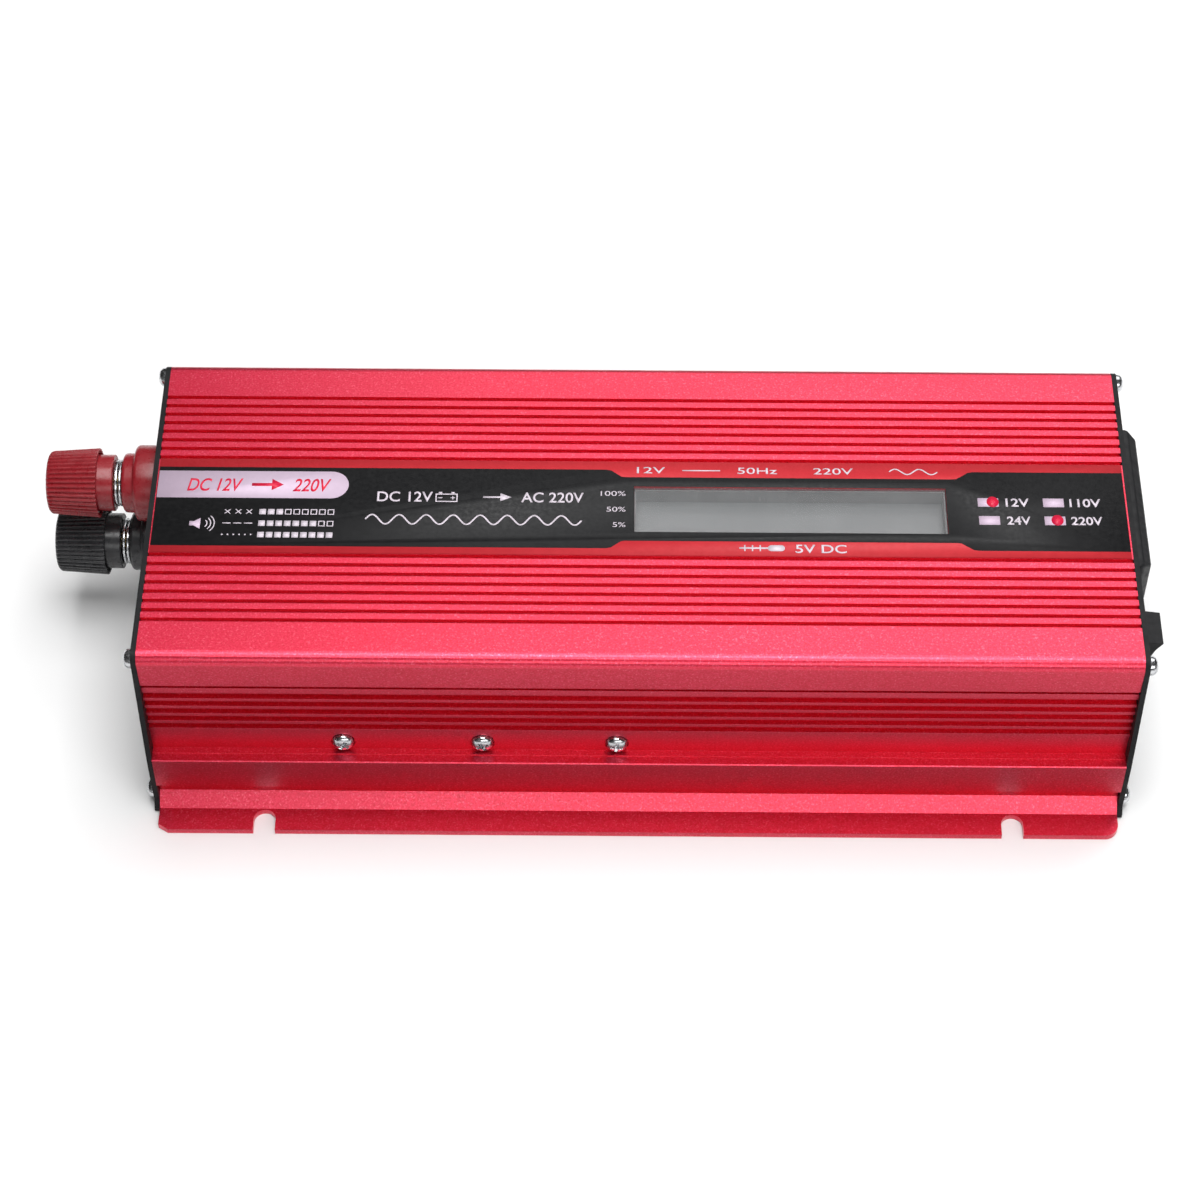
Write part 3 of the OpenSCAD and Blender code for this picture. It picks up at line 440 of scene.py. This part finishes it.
def arc_band(x, y, r0, r1, start, stop, steps=12):
    angles = [math.radians(start + (stop - start) * k / steps) for k in range(steps + 1)]
    outer = [(x + r1 * math.cos(a), y + r1 * math.sin(a)) for a in angles]
    inner = [(x + r0 * math.cos(a), y + r0 * math.sin(a)) for a in reversed(angles)]
    return outer + inner


def stroke(points, width):
    """Outline of a line of constant width through the points."""
    left, right = [], []
    for i, point in enumerate(points):
        before = Vector(points[max(i - 1, 0)])
        after = Vector(points[min(i + 1, len(points) - 1)])
        along = (after - before).normalized()
        side = Vector((-along.y, along.x)) * width / 2
        left.append(tuple(Vector(point) + side))
        right.append(tuple(Vector(point) - side))
    return left + right[::-1]


# Finishes of the CAD nodes -----------------------------------------------------------------

SOFT_EDGES = {
    "top_shell": 0.22, "base_plate": 0.25,
    "outlet_housing": 0.6, "switch_housing": 0.4, "switch_rocker": 0.5, "fan_frame": 0.3,
    "transformer_cores": 0.4, "fuses": 0.4, "front_transistors": 0.2, "rear_transistors": 0.2,
    "input_capacitors": 0.8, "bus_capacitors": 1.0, "transformer_windings": 0.8,
    "buzzer": 0.4, "usb_shell": 0.08, "choke_winding": 0.2, "choke_core": 0.6,
}


def soften(node, width):
    """Rounds a CAD node's edges with modifiers, which leave its mesh as it is."""
    obj = frame["nodes"][node]
    join_doubles = obj.modifiers.new("join_doubles", "WELD")
    join_doubles.merge_threshold = 0.002 * MM
    bevel = obj.modifiers.new("soft_edges", "BEVEL")
    bevel.width = width
    bevel.segments = 2
    bevel.limit_method = "ANGLE"
    bevel.angle_limit = math.radians(28)
    bevel.harden_normals = False
    bevel.use_clamp_overlap = True


def finish_cad_nodes():
    for entry in frame["record"]["subparts"]:
        node = entry["node"]
        obj = frame["nodes"][node]
        for i in range(len(obj.material_slots)):
            obj.material_slots[i].material = FINISH[entry["material_slot"]]
        if node in SOFT_EDGES:
            soften(node, SOFT_EDGES[node] * MM)


# Screws ------------------------------------------------------------------------------------

def cross_head(radius, height, rings=22, steps=96):
    """A pan head with a tapered cross recess, seated at x = 0 and rising along -X."""
    arm_half = 0.15 * radius
    arm_reach = 0.56 * radius

    def recess(y, z):
        across, along = sorted((abs(y), abs(z)))
        side = (arm_half - across) / (0.35 * arm_half)
        end = (arm_reach - along) / (0.3 * arm_reach)
        return max(0.0, min(1.0, side, end))

    verts, faces = [], []
    for i in range(rings + 1):
        share = i / rings
        r = radius * share
        for k in range(steps):
            y = r * math.cos(TAU * k / steps)
            z = r * math.sin(TAU * k / steps)
            dome = height * (1 - share ** 3.2) ** 0.45
            verts.append(Vector((-dome + 0.62 * height * recess(y, z), y, z)))
    for i in range(rings):
        for k in range(steps):
            j = (k + 1) % steps
            faces.append([i * steps + k, (i + 1) * steps + k, (i + 1) * steps + j, i * steps + j])
    faces.append([rings * steps + k for k in range(steps)])
    return verts, faces


def cross_screw(radius, height, shank, length):
    """A whole screw: head, and a pointed shank with turned thread rings."""
    pitch = 0.6 * MM
    profile = [(-0.02 * MM, 0)]
    for i in range(int(length * 0.9 / pitch)):
        profile.append((-i * pitch, shank))
        profile.append((-(i + 0.5) * pitch, shank * 0.82))
    profile.append((-length, 0))
    return join([cross_head(radius, height), turned(profile, 24)])


def screw_set(name, node, places, heading, radius, height, shank, length):
    """Screws at [position, spin] places; heading turns -X to the side the heads face."""
    shape = cross_screw(radius, height, shank, length)
    parts = []
    for position, spin in places:
        matrix = Matrix.Translation(position) @ heading @ Matrix.Rotation(spin, 4, "X")
        parts.append(placed(shape, matrix))
    obj = piece(name, *join(parts), "zinc_steel", "zinc_steel", sharp_deg=50)
    weld(obj, 1e-7)
    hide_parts(node)
    return obj


FRONT_CLAMP_X = [-85 * MM, -45 * MM, -6.5 * MM]
REAR_CLAMP_X = FRONT_CLAMP_X + [60 * MM]


def screws():
    """The four corner screws of each end plate, and the clamp screws through both walls."""
    plate_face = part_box("ac_end_plate")[1].x
    head_r = 2.9 * MM
    head_h = 2.4 * MM
    box_low, box_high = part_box("dc_plate_screws")
    high_z = box_high.z - head_r
    low_z = box_low.z + head_r
    low_y = box_high.y - head_r
    high_y = low_y - 1.75 * MM
    corners = ((-high_y, high_z), (high_y, high_z), (-low_y, low_z), (low_y, low_z))
    spins = [0.4, 1.1, 0.15, 0.8]
    for end, name in ((-1, "dc"), (1, "ac")):
        heading = Matrix.Rotation(0 if end < 0 else math.pi, 4, "Z")
        places = [(Vector((end * plate_face, y, z)), spins[i] + end)
                  for i, (y, z) in enumerate(corners)]
        screw_set(f"{name}_plate_screw_set", f"{name}_plate_screws", places, heading,
                  head_r, head_h, shank=1.2 * MM, length=10 * MM)
    for node, side in (("front_clamp_screws", -1), ("rear_clamp_screws", 1)):
        low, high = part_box(node)
        clamp_r = (high.z - low.z) / 2
        z = (high.z + low.z) / 2
        face_y = side * (max(abs(low.y), abs(high.y)) - head_h)
        xs = FRONT_CLAMP_X if side < 0 else REAR_CLAMP_X
        heading = Matrix.Rotation(math.pi / 2 if side < 0 else -math.pi / 2, 4, "Z")
        places = [(Vector((x, face_y, z)), 0.5 + 0.6 * i) for i, x in enumerate(xs)]
        screw_set(f"{node[:-7]}_screw_set", node, places, heading,
                  clamp_r, head_h, shank=1.45 * MM, length=11.9 * MM)


# Binding posts -----------------------------------------------------------------------------

def post_centre(colour):
    low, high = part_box(f"{colour}_post_base")
    return Vector((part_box("dc_end_plate")[0].x, (low.y + high.y) / 2, (low.z + high.z) / 2))


def binding_post(colour):
    """Moulded base, two washers and a ribbed knob. Distances run out from the end plate."""
    plastic = f"{colour}_plastic"
    at = Matrix.Translation(post_centre(colour))
    plate = at.translation.x

    base_low, base_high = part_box(f"{colour}_post_base")
    base_r = (base_high.y - base_low.y) / 2
    base_end = plate - base_low.x
    bore = 3.1 * MM
    ring_r = 8.8 * MM
    ring_length = 3.7 * MM
    flange = base_end - ring_length
    spigot_r = 4.4 * MM
    spigot_end = -1.5 * MM
    seat = base_end - 0.5 * MM
    corners = [
        (spigot_end, bore, 0), (spigot_end, spigot_r, 0), (0, spigot_r, 0), (0, base_r, 0.3),
        (flange, base_r, 1.3), (flange, ring_r, 0.5), (base_end, ring_r, 1.1),
        (base_end, 5.2 * MM, 0.4), (seat, 4.8 * MM, 0.3), (seat, bore, 0),
    ]
    profile = fillet([c[:2] for c in corners], [c[2] * MM for c in corners], 5, closed=True)
    base = piece(f"{colour}_post_moulding", *placed(turned(profile, 96, ring=True), at),
                 plastic, plastic)
    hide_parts(f"{colour}_post_base")

    washer_low, washer_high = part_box(f"{colour}_post_washers")
    washer_r = (washer_high.y - washer_low.y) / 2
    thickness = 0.8 * MM
    hole_r = bore + 0.25 * MM
    shapes = [
        flat_washer(plate - washer_high.x, thickness, washer_r, hole_r),
        spring_washer(plate - washer_low.x - thickness, thickness, washer_r, hole_r),
    ]
    washers = piece(f"{colour}_post_washer_pair", *placed(join(shapes), at),
                    "zinc_steel", "zinc_steel", f"{colour}_washers")
    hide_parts(f"{colour}_post_washers")

    knob_low, knob_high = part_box(f"{colour}_knob")
    knob(colour, at, plate - knob_high.x, plate - knob_low.x, (knob_high.y - knob_low.y) / 2)


def flat_washer(start, thickness, outer, inner):
    profile = fillet([(start, inner), (start, outer), (start + thickness, outer),
                      (start + thickness, inner)], [0.1 * MM, 0.22 * MM, 0.22 * MM, 0.1 * MM],
                     3, closed=True)
    return turned(profile, 96, ring=True)


def spring_washer(start, thickness, outer, inner, steps=90):
    """A split washer whose two cut ends stand slightly apart."""
    rise = 0.16 * MM
    gap = 0.10
    section = fillet([(0, inner), (0, outer), (thickness, outer), (thickness, inner)],
                     [0.12 * MM] * 4, 2, closed=True)
    n = len(section)
    verts, faces = [], []
    for k in range(steps + 1):
        share = k / steps
        angle = gap / 2 + (TAU - gap) * share
        shift = start + (share - 0.5) * rise
        for out, radius in section:
            y, z = radius * math.cos(angle), radius * math.sin(angle)
            verts.append(Vector((-(shift + out), y, z)))
    for k in range(steps):
        for i in range(n):
            j = (i + 1) % n
            faces.append([k * n + i, (k + 1) * n + i, (k + 1) * n + j, k * n + j])
    faces.append(list(range(n)))
    faces.append([steps * n + i for i in reversed(range(n))])
    return verts, faces


def knob(colour, at, start, end, skirt_r, ribs=42):
    """Screw-down knob: smooth collar, flared skirt with grip ribs, domed cap and a blind bore."""
    collar_r = 8.35 * MM
    collar_length = 4.7 * MM
    skirt = start + collar_length
    tip_r = 9.25 * MM
    bore = 3.05 * MM
    bore_end = end - 4.2 * MM
    rib_depth = 0.6 * MM
    corners = [
        (bore_end, 0, 0), (bore_end, bore, 0), (start, bore, 0.2), (start, collar_r, 0.35),
        (skirt + 2.3 * MM, collar_r, 0.3), (skirt - 0.1 * MM, skirt_r - 0.55 * MM, 0.05),
        (skirt, skirt_r, 0.08), (end, tip_r, 1.5), (end, 0, 0),
    ]
    profile = fillet([c[:2] for c in corners], [c[2] * MM for c in corners], 6)
    grip = []
    for here, there in zip(profile, profile[1:]):
        grip.append(here)
        long_run = (there - here).length > 3 * MM and min(here[1], there[1]) > collar_r + 0.3 * MM
        if long_run:
            grip += [here.lerp(there, i / 8) for i in range(1, 8)]
    grip.append(profile[-1])

    def ripple(out, radius, angle):
        if out < skirt - 0.3 * MM or radius < collar_r - 1.2 * MM:
            return 0
        inward = min(1, max(0, (skirt + 0.02 * MM - out) / MM))
        cap = min(1, max(0, (end - out) / (1.0 * MM)))
        if radius < skirt_r - 0.8 * MM and out < skirt + 2.4 * MM:
            return 0
        wave = 0.5 - 0.5 * math.cos(ribs * angle)
        return -rib_depth * (wave ** 1.6) * cap * (1 - inward)

    shape = turned([tuple(p) for p in grip], ribs * 12, ripple)
    made = piece(f"{colour}_knob_moulding", *placed(shape, at), f"{colour}_plastic",
                 f"{colour}_plastic", f"{colour}_knob", sharp_deg=40)
    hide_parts(f"{colour}_knob")


# Label -------------------------------------------------------------------------------------

label_low, label_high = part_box("face_label")
window_low, window_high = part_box("display_window")
INK = 0.03 * MM
PRINT_Z = label_high.z + INK


def window_hole(margin=0.0):
    return rectangle(window_low.x - 0.15 * MM - margin, window_high.x + 0.15 * MM + margin,
                     window_low.y - 0.15 * MM - margin, window_high.y + 0.15 * MM + margin)


def label():
    """The red film, the black field on it and the prints."""
    edge = rectangle(label_low.x, label_high.x, label_low.y, label_high.y)
    film = flat_shape("label_film", [edge, window_hole()], label_low.z,
                      label_high.z - label_low.z, "label_film", "label_film")
    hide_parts("face_label")
    wide, narrow = 14.65 * MM, 11.85 * MM
    middle = -0.35 * MM
    upper = [
        (label_low.x + 0.1 * MM, wide), (-10 * MM, wide), (-8.6 * MM, wide - 0.3 * MM),
        (-5.6 * MM, narrow + 0.15 * MM), (-4.4 * MM, narrow), (90 * MM, narrow),
        (91.4 * MM, narrow + 0.15 * MM), (94.8 * MM, wide - 0.3 * MM), (96.2 * MM, wide),
        (label_high.x - 0.1 * MM, wide),
    ]
    field = [(x, middle + y) for x, y in upper]
    field += [(x, middle - y) for x, y in reversed(upper)]
    flat_shape("label_field", [field, window_hole()], label_high.z, INK, "label_black",
               "label_film")
    title_block()
    load_block()
    centre_block()
    display_block()
    voltage_block()


def title_block():
    """Pink tab with a rounded end, printed with the input and output voltages and an arrow."""
    low, high = 2.7 * MM, 12.8 * MM
    radius = (high - low) / 2
    end = -84.4 * MM - radius
    middle = (low + high) / 2
    tab = [(label_low.x + 0.2 * MM, high), (label_low.x + 0.2 * MM, low)]
    tab += [(end + radius * math.cos(a), middle + radius * math.sin(a))
            for a in (math.radians(-90 + 7.5 * k) for k in range(25))]
    flat_shape("label_tab", [tab], PRINT_Z - 0.2 * INK, 0.6 * INK, "label_pink", "label_film")
    y0, y1 = 5.2 * MM, 10 * MM
    slant, weight = 0.25, 0.12
    printed_text("tab_print", "DC 12V", -131 * MM, -115 * MM, y0, y1, "label_spot", slant, weight)
    arrow = [(-112.4, 7.2), (-106.6, 7.2), (-106.6, 5.6), (-103.2, 7.75), (-106.6, 9.9),
             (-106.6, 8.3), (-112.4, 8.3)]
    flat_shape("tab_arrow", [in_mm(arrow)], PRINT_Z, INK, "label_spot")
    printed_text("tab_print_ac", "220V", -100.5 * MM, -89.5 * MM, y0, y1, "label_spot", slant,
                 weight)


def load_block():
    """Buzzer sign and three rows of sound patterns, each with a load gauge."""
    x, y = -127.6 * MM, -6.9 * MM
    cone = [(-1.6, -0.8), (-0.3, -0.8), (1.5, -2.0), (1.5, 2.0), (-0.3, 0.8), (-1.6, 0.8)]
    sign = [(x + a, y + b) for a, b in in_mm(cone)]
    flat_shape("buzzer_sign", [sign], PRINT_Z, INK, "label_pink")
    for i in range(3):
        r = (1.5 + 1.05 * i) * MM
        flat_shape(f"buzzer_wave_{i}", [arc_band(x + 1.8 * MM, y, r, r + 0.3 * MM, -48, 48)],
                   PRINT_Z, INK, "label_white")
    rows = (-2.4 * MM, -6.7 * MM, -10.9 * MM)
    arm = 0.8 * MM
    for i in range(3):
        cx = (-118.6 + 3.1 * i) * MM
        for k, lean in enumerate((1, -1)):
            ends = [(cx - arm, rows[0] - lean * arm), (cx + arm, rows[0] + lean * arm)]
            flat_shape(f"cross_{i}_{k}", [stroke(ends, 0.3 * MM)], PRINT_Z + k * 0.1 * INK, INK,
                       "label_white")
        flat_shape(f"dash_{i}", [rectangle(cx - 1.2 * MM, cx + 1.2 * MM, rows[1] - 0.16 * MM,
                                           rows[1] + 0.16 * MM)], PRINT_Z, INK, "label_white")
    for i in range(6):
        flat_shape(f"dot_{i}", [disc((-119.6 + 1.65 * i) * MM, rows[2], 0.26 * MM, steps=16)],
                   PRINT_Z, INK, "label_white")
    for row, (y0, filled) in enumerate(zip(rows, (3, 7, 9))):
        gauge(f"gauge_{row}", -109.5 * MM, y0, filled)


def gauge(name, x, y, filled, cells=9):
    """A row of small cells, solid up to the filled count and hollow after it."""
    for i in range(cells):
        left = x + i * 2.45 * MM
        outline = rectangle(left, left + 1.9 * MM, y - 1.0 * MM, y + 1.0 * MM)
        hole = rectangle(left + 0.28 * MM, left + 1.62 * MM, y - 0.72 * MM, y + 0.72 * MM)
        flat_shape(f"{name}_{i}", [outline] if i < filled else [outline, hole], PRINT_Z, INK,
                   "label_white")


def centre_block():
    """Two lines of signs: battery to mains, and the shape of the output wave."""
    y0, y1 = 1.7 * MM, 5.5 * MM
    printed_text("centre_dc", "DC 12V", -76 * MM, -60 * MM, y0, y1, weight=0.12)
    battery(-56 * MM, (y0 + y1) / 2)
    arrow = [(-45.5, 3.3), (-40.5, 3.3), (-40.5, 2.1), (-37.3, 3.6), (-40.5, 5.1), (-40.5, 3.9),
             (-45.5, 3.9)]
    flat_shape("centre_arrow", [in_mm(arrow)], PRINT_Z, INK, "label_white")
    printed_text("centre_ac", "AC 220V", -34.5 * MM, -16.5 * MM, y0, y1, weight=0.12)
    start, stop, middle = -79 * MM, -17 * MM, -4.9 * MM
    waves = 8
    steps = 160
    line = [(start + (stop - start) * k / steps,
             middle + 1.75 * MM * math.sin(TAU * waves * k / steps)) for k in range(steps + 1)]
    flat_shape("centre_wave", [stroke(line, 0.5 * MM)], PRINT_Z, INK, "label_white")


def battery(x, y):
    """A battery sign: a hollow box with two terminals and its poles."""
    body = rectangle(x - 3.2 * MM, x + 3.2 * MM, y - 1.9 * MM, y + 1.2 * MM)
    hollow = rectangle(x - 2.85 * MM, x + 2.85 * MM, y - 1.55 * MM, y + 0.85 * MM)
    flat_shape("battery_box", [body, hollow], PRINT_Z, INK, "label_white")
    for i, side in enumerate((-1, 1)):
        cx = x + side * 1.8 * MM
        flat_shape(f"battery_terminal_{i}",
                   [rectangle(cx - 0.5 * MM, cx + 0.5 * MM, y + 1.25 * MM, y + 1.85 * MM)],
                   PRINT_Z, INK, "label_white")
        flat_shape(f"battery_pole_{i}",
                   [rectangle(cx - 0.65 * MM, cx + 0.65 * MM, y - 0.5 * MM, y - 0.2 * MM)],
                   PRINT_Z, INK, "label_white")
    upright = rectangle(x + 1.65 * MM, x + 1.95 * MM, y - 1.0 * MM, y + 0.3 * MM)
    flat_shape("battery_plus", [upright], PRINT_Z + 0.1 * INK, INK, "label_white")


def display_block():
    """Scale beside the display, and the lines of print behind and in front of it."""
    for text, x0, y in (("100%", -11.6, 5.3), ("50%", -9.9, -0.6), ("5%", -8.1, -6.3)):
        printed_text(f"scale_{text[:-1]}", text, x0 * MM, -4.4 * MM, (y - 0.9) * MM, (y + 0.9) * MM)
    y0, y1 = 13.0 * MM, 15.4 * MM
    for name, text, x0, x1 in (("rear_volt", "12V", -1.2, 7), ("rear_hertz", "50Hz", 28, 39.5),
                               ("rear_out", "220V", 50, 61.5)):
        printed_text(name, text, x0 * MM, x1 * MM, y0, y1, weight=0.05)
    steps = 60
    wave = [((72 + 14 * k / steps) * MM, (14.2 + 1.0 * math.sin(TAU * 2 * k / steps)) * MM)
            for k in range(steps + 1)]
    flat_shape("rear_wave", [stroke(wave, 0.4 * MM)], PRINT_Z, INK, "label_white")
    flat_shape("rear_bar", [rectangle(12 * MM, 23 * MM, 13.95 * MM, 14.35 * MM)], PRINT_Z, INK,
               "label_white")
    plug_sign(28 * MM, -14.6 * MM)
    printed_text("five_volt", "5V DC", 44 * MM, 58.6 * MM, -16.3 * MM, -13.2 * MM, weight=0.12)


def plug_sign(x, y):
    """A lead with a small plug at its end."""
    flat_shape("plug_lead", [rectangle(x, x + 8.6 * MM, y - 0.28 * MM, y + 0.28 * MM)], PRINT_Z,
               INK, "label_white")
    body = fillet(rectangle(x + 8.2 * MM, x + 13 * MM, y - 1.1 * MM, y + 1.1 * MM),
                  [1.0 * MM] * 4, 6, closed=True)
    flat_shape("plug_body", [[tuple(p) for p in body]], PRINT_Z, INK * 1.1, "label_white")
    for i in range(3):
        cx = x + (1.6 + 2.2 * i) * MM
        rib = rectangle(cx - 0.2 * MM, cx + 0.2 * MM, y - 1.1 * MM, y + 1.1 * MM)
        flat_shape(f"plug_rib_{i}", [rib], PRINT_Z, INK * 0.9, "label_white")


def voltage_block():
    """Four boxes with voltages, two of them marked."""
    for row, y in enumerate((2.9 * MM, -3.8 * MM)):
        for column, x in enumerate((97 * MM, 115.8 * MM)):
            flat_shape(f"box_{row}_{column}",
                       [rectangle(x, x + 6 * MM, y - 1.6 * MM, y + 1.6 * MM)],
                       PRINT_Z, INK, "label_pink")
    for name, x, y in (("mark_12", 101.3, 3.1), ("mark_220", 119.5, -3.6)):
        flat_shape(name, [disc(x * MM, y * MM, 1.75 * MM, 1.95 * MM)], PRINT_Z + INK, INK,
                   "label_spot")
    half = 1.55 * MM
    for volts, x0, x1, y in ((12, 105, 111.8, 2.9), (24, 105, 111.8, -3.8),
                             (110, 123.4, 132.4, 2.9), (220, 123.4, 132.4, -3.8)):
        printed_text(f"volt_{volts}", f"{volts}V", x0 * MM, x1 * MM, y * MM - half, y * MM + half,
                     weight=0.2)


# Stage -------------------------------------------------------------------------------------

def sheet(name, corners, material):
    mesh = bpy.data.meshes.new(name)
    mesh.from_pydata(corners, [], [(0, 1, 2, 3)])
    mesh.materials.append(material)
    obj = bpy.data.objects.new(name, mesh)
    bpy.context.scene.collection.objects.link(obj)
    return obj


def stage():
    """A plain white floor, and two grey cards that show only in reflections: one on the floor in
    front of the case, painted with shade that is darkest at the case and at the battery end,
    and one behind the camera."""
    paper = Finish("paper", (0.94, 0.94, 0.94), roughness=0.8, specular=0.1)
    sheet("floor", [(x, y, cad_low.z) for x, y in rectangle(-3, 3, -3, 3)], paper.material)
    grey = Finish("painted_shade_card", (0.05, 0.05, 0.05), roughness=0.9, specular=0.1)
    # painted shade: the floor card is darkest at the case, where the floor lies in shade, and
    # towards the battery end, where less light falls
    split = grey.nodes.new("ShaderNodeSeparateXYZ")
    grey.links.new(grey.place, split.inputs["Vector"])
    grey.tint(split.outputs["X"], (0.30, 0.30, 0.30), start=-0.2, stop=0.25)
    grey.tint(split.outputs["Y"], (0.95, 0.95, 0.95), start=-0.075, stop=-0.13)
    card_z = cad_low.z + 0.5 * MM
    on_floor = [(x, y, card_z) for x, y in rectangle(-1.2, 1.2, -1.0, cad_low.y - MM)]
    flag = Finish("flag", (0.34, 0.34, 0.34), roughness=0.9, specular=0.1)
    upright = [(x, -1.6, z) for x, z in rectangle(-2.4, 2.4, 0.05, 2.2)]
    cards = (sheet("painted_shade_card", on_floor, grey.material), sheet("flag", upright, flag.material))
    for card in cards:
        card.visible_camera = False
        card.visible_diffuse = False
        card.visible_shadow = False


def surroundings():
    """Even white surroundings, brighter on the side of the AC end."""
    world = bpy.data.worlds.new("studio")
    world.use_nodes = True
    nodes = world.node_tree.nodes
    links = world.node_tree.links
    direction = nodes.new("ShaderNodeTexCoord").outputs["Generated"]
    split = nodes.new("ShaderNodeSeparateXYZ")
    links.new(direction, split.inputs["Vector"])
    ramp = nodes.new("ShaderNodeMapRange")
    ramp.inputs["From Min"].default_value = -0.35
    ramp.inputs["From Max"].default_value = 0.45
    ramp.inputs["To Min"].default_value = 0.62
    ramp.inputs["To Max"].default_value = 1.0
    links.new(split.outputs["X"], ramp.inputs["Value"])
    links.new(ramp.outputs["Result"], nodes["Background"].inputs["Strength"])
    bpy.context.scene.world = world


def lights():
    """Three softboxes: behind for the top, overhead for floor and label, in front for the foot."""
    soft_light("rear_softbox", (0.45, 1.0, 1.1), (0.05, 0, 0.03), width=1.4, height=1.0, watts=8.8)
    soft_light("overhead_softbox", (0.05, 0, 1.4), (0, 0, 0), width=1.1, height=0.9, watts=20)
    soft_light("front_softbox", (0.42, -1.15, 0.75), (0, 0, 0.03), width=1.6, height=0.4, watts=8.2)


def soft_light(name, place, target, width, height, watts):
    data = bpy.data.lights.new(name, "AREA")
    data.shape = "RECTANGLE"
    data.size = width
    data.size_y = height
    data.energy = watts
    light = bpy.data.objects.new(name, data)
    light.location = place
    light.rotation_mode = "QUATERNION"
    light.rotation_quaternion = (Vector(target) - Vector(place)).to_track_quat("-Z", "Y")
    bpy.context.scene.collection.objects.link(light)


def camera():
    """Looks down at 52 degrees from the front, with the case a little right of centre."""
    elevation = math.radians(52.04)
    data = bpy.data.cameras.new("camera")
    data.sensor_width = 36
    data.lens = 93.6
    data.shift_x = -0.0167
    data.clip_start = 0.05
    data.clip_end = 20
    cam = bpy.data.objects.new("camera", data)
    cam.location = (-0.0058, -0.5726, 0.75928)
    aim = Matrix.Rotation(math.pi / 2 - elevation, 4, "X")
    cam.rotation_euler = (aim @ Matrix.Rotation(math.radians(0.4), 4, "Z")).to_euler()
    bpy.context.scene.collection.objects.link(cam)
    bpy.context.scene.camera = cam
    bpy.context.scene.view_settings.view_transform = "Standard"


camera()
stage()
surroundings()
lights()
finish_cad_nodes()
screws()
binding_post("red")
binding_post("black")
label()
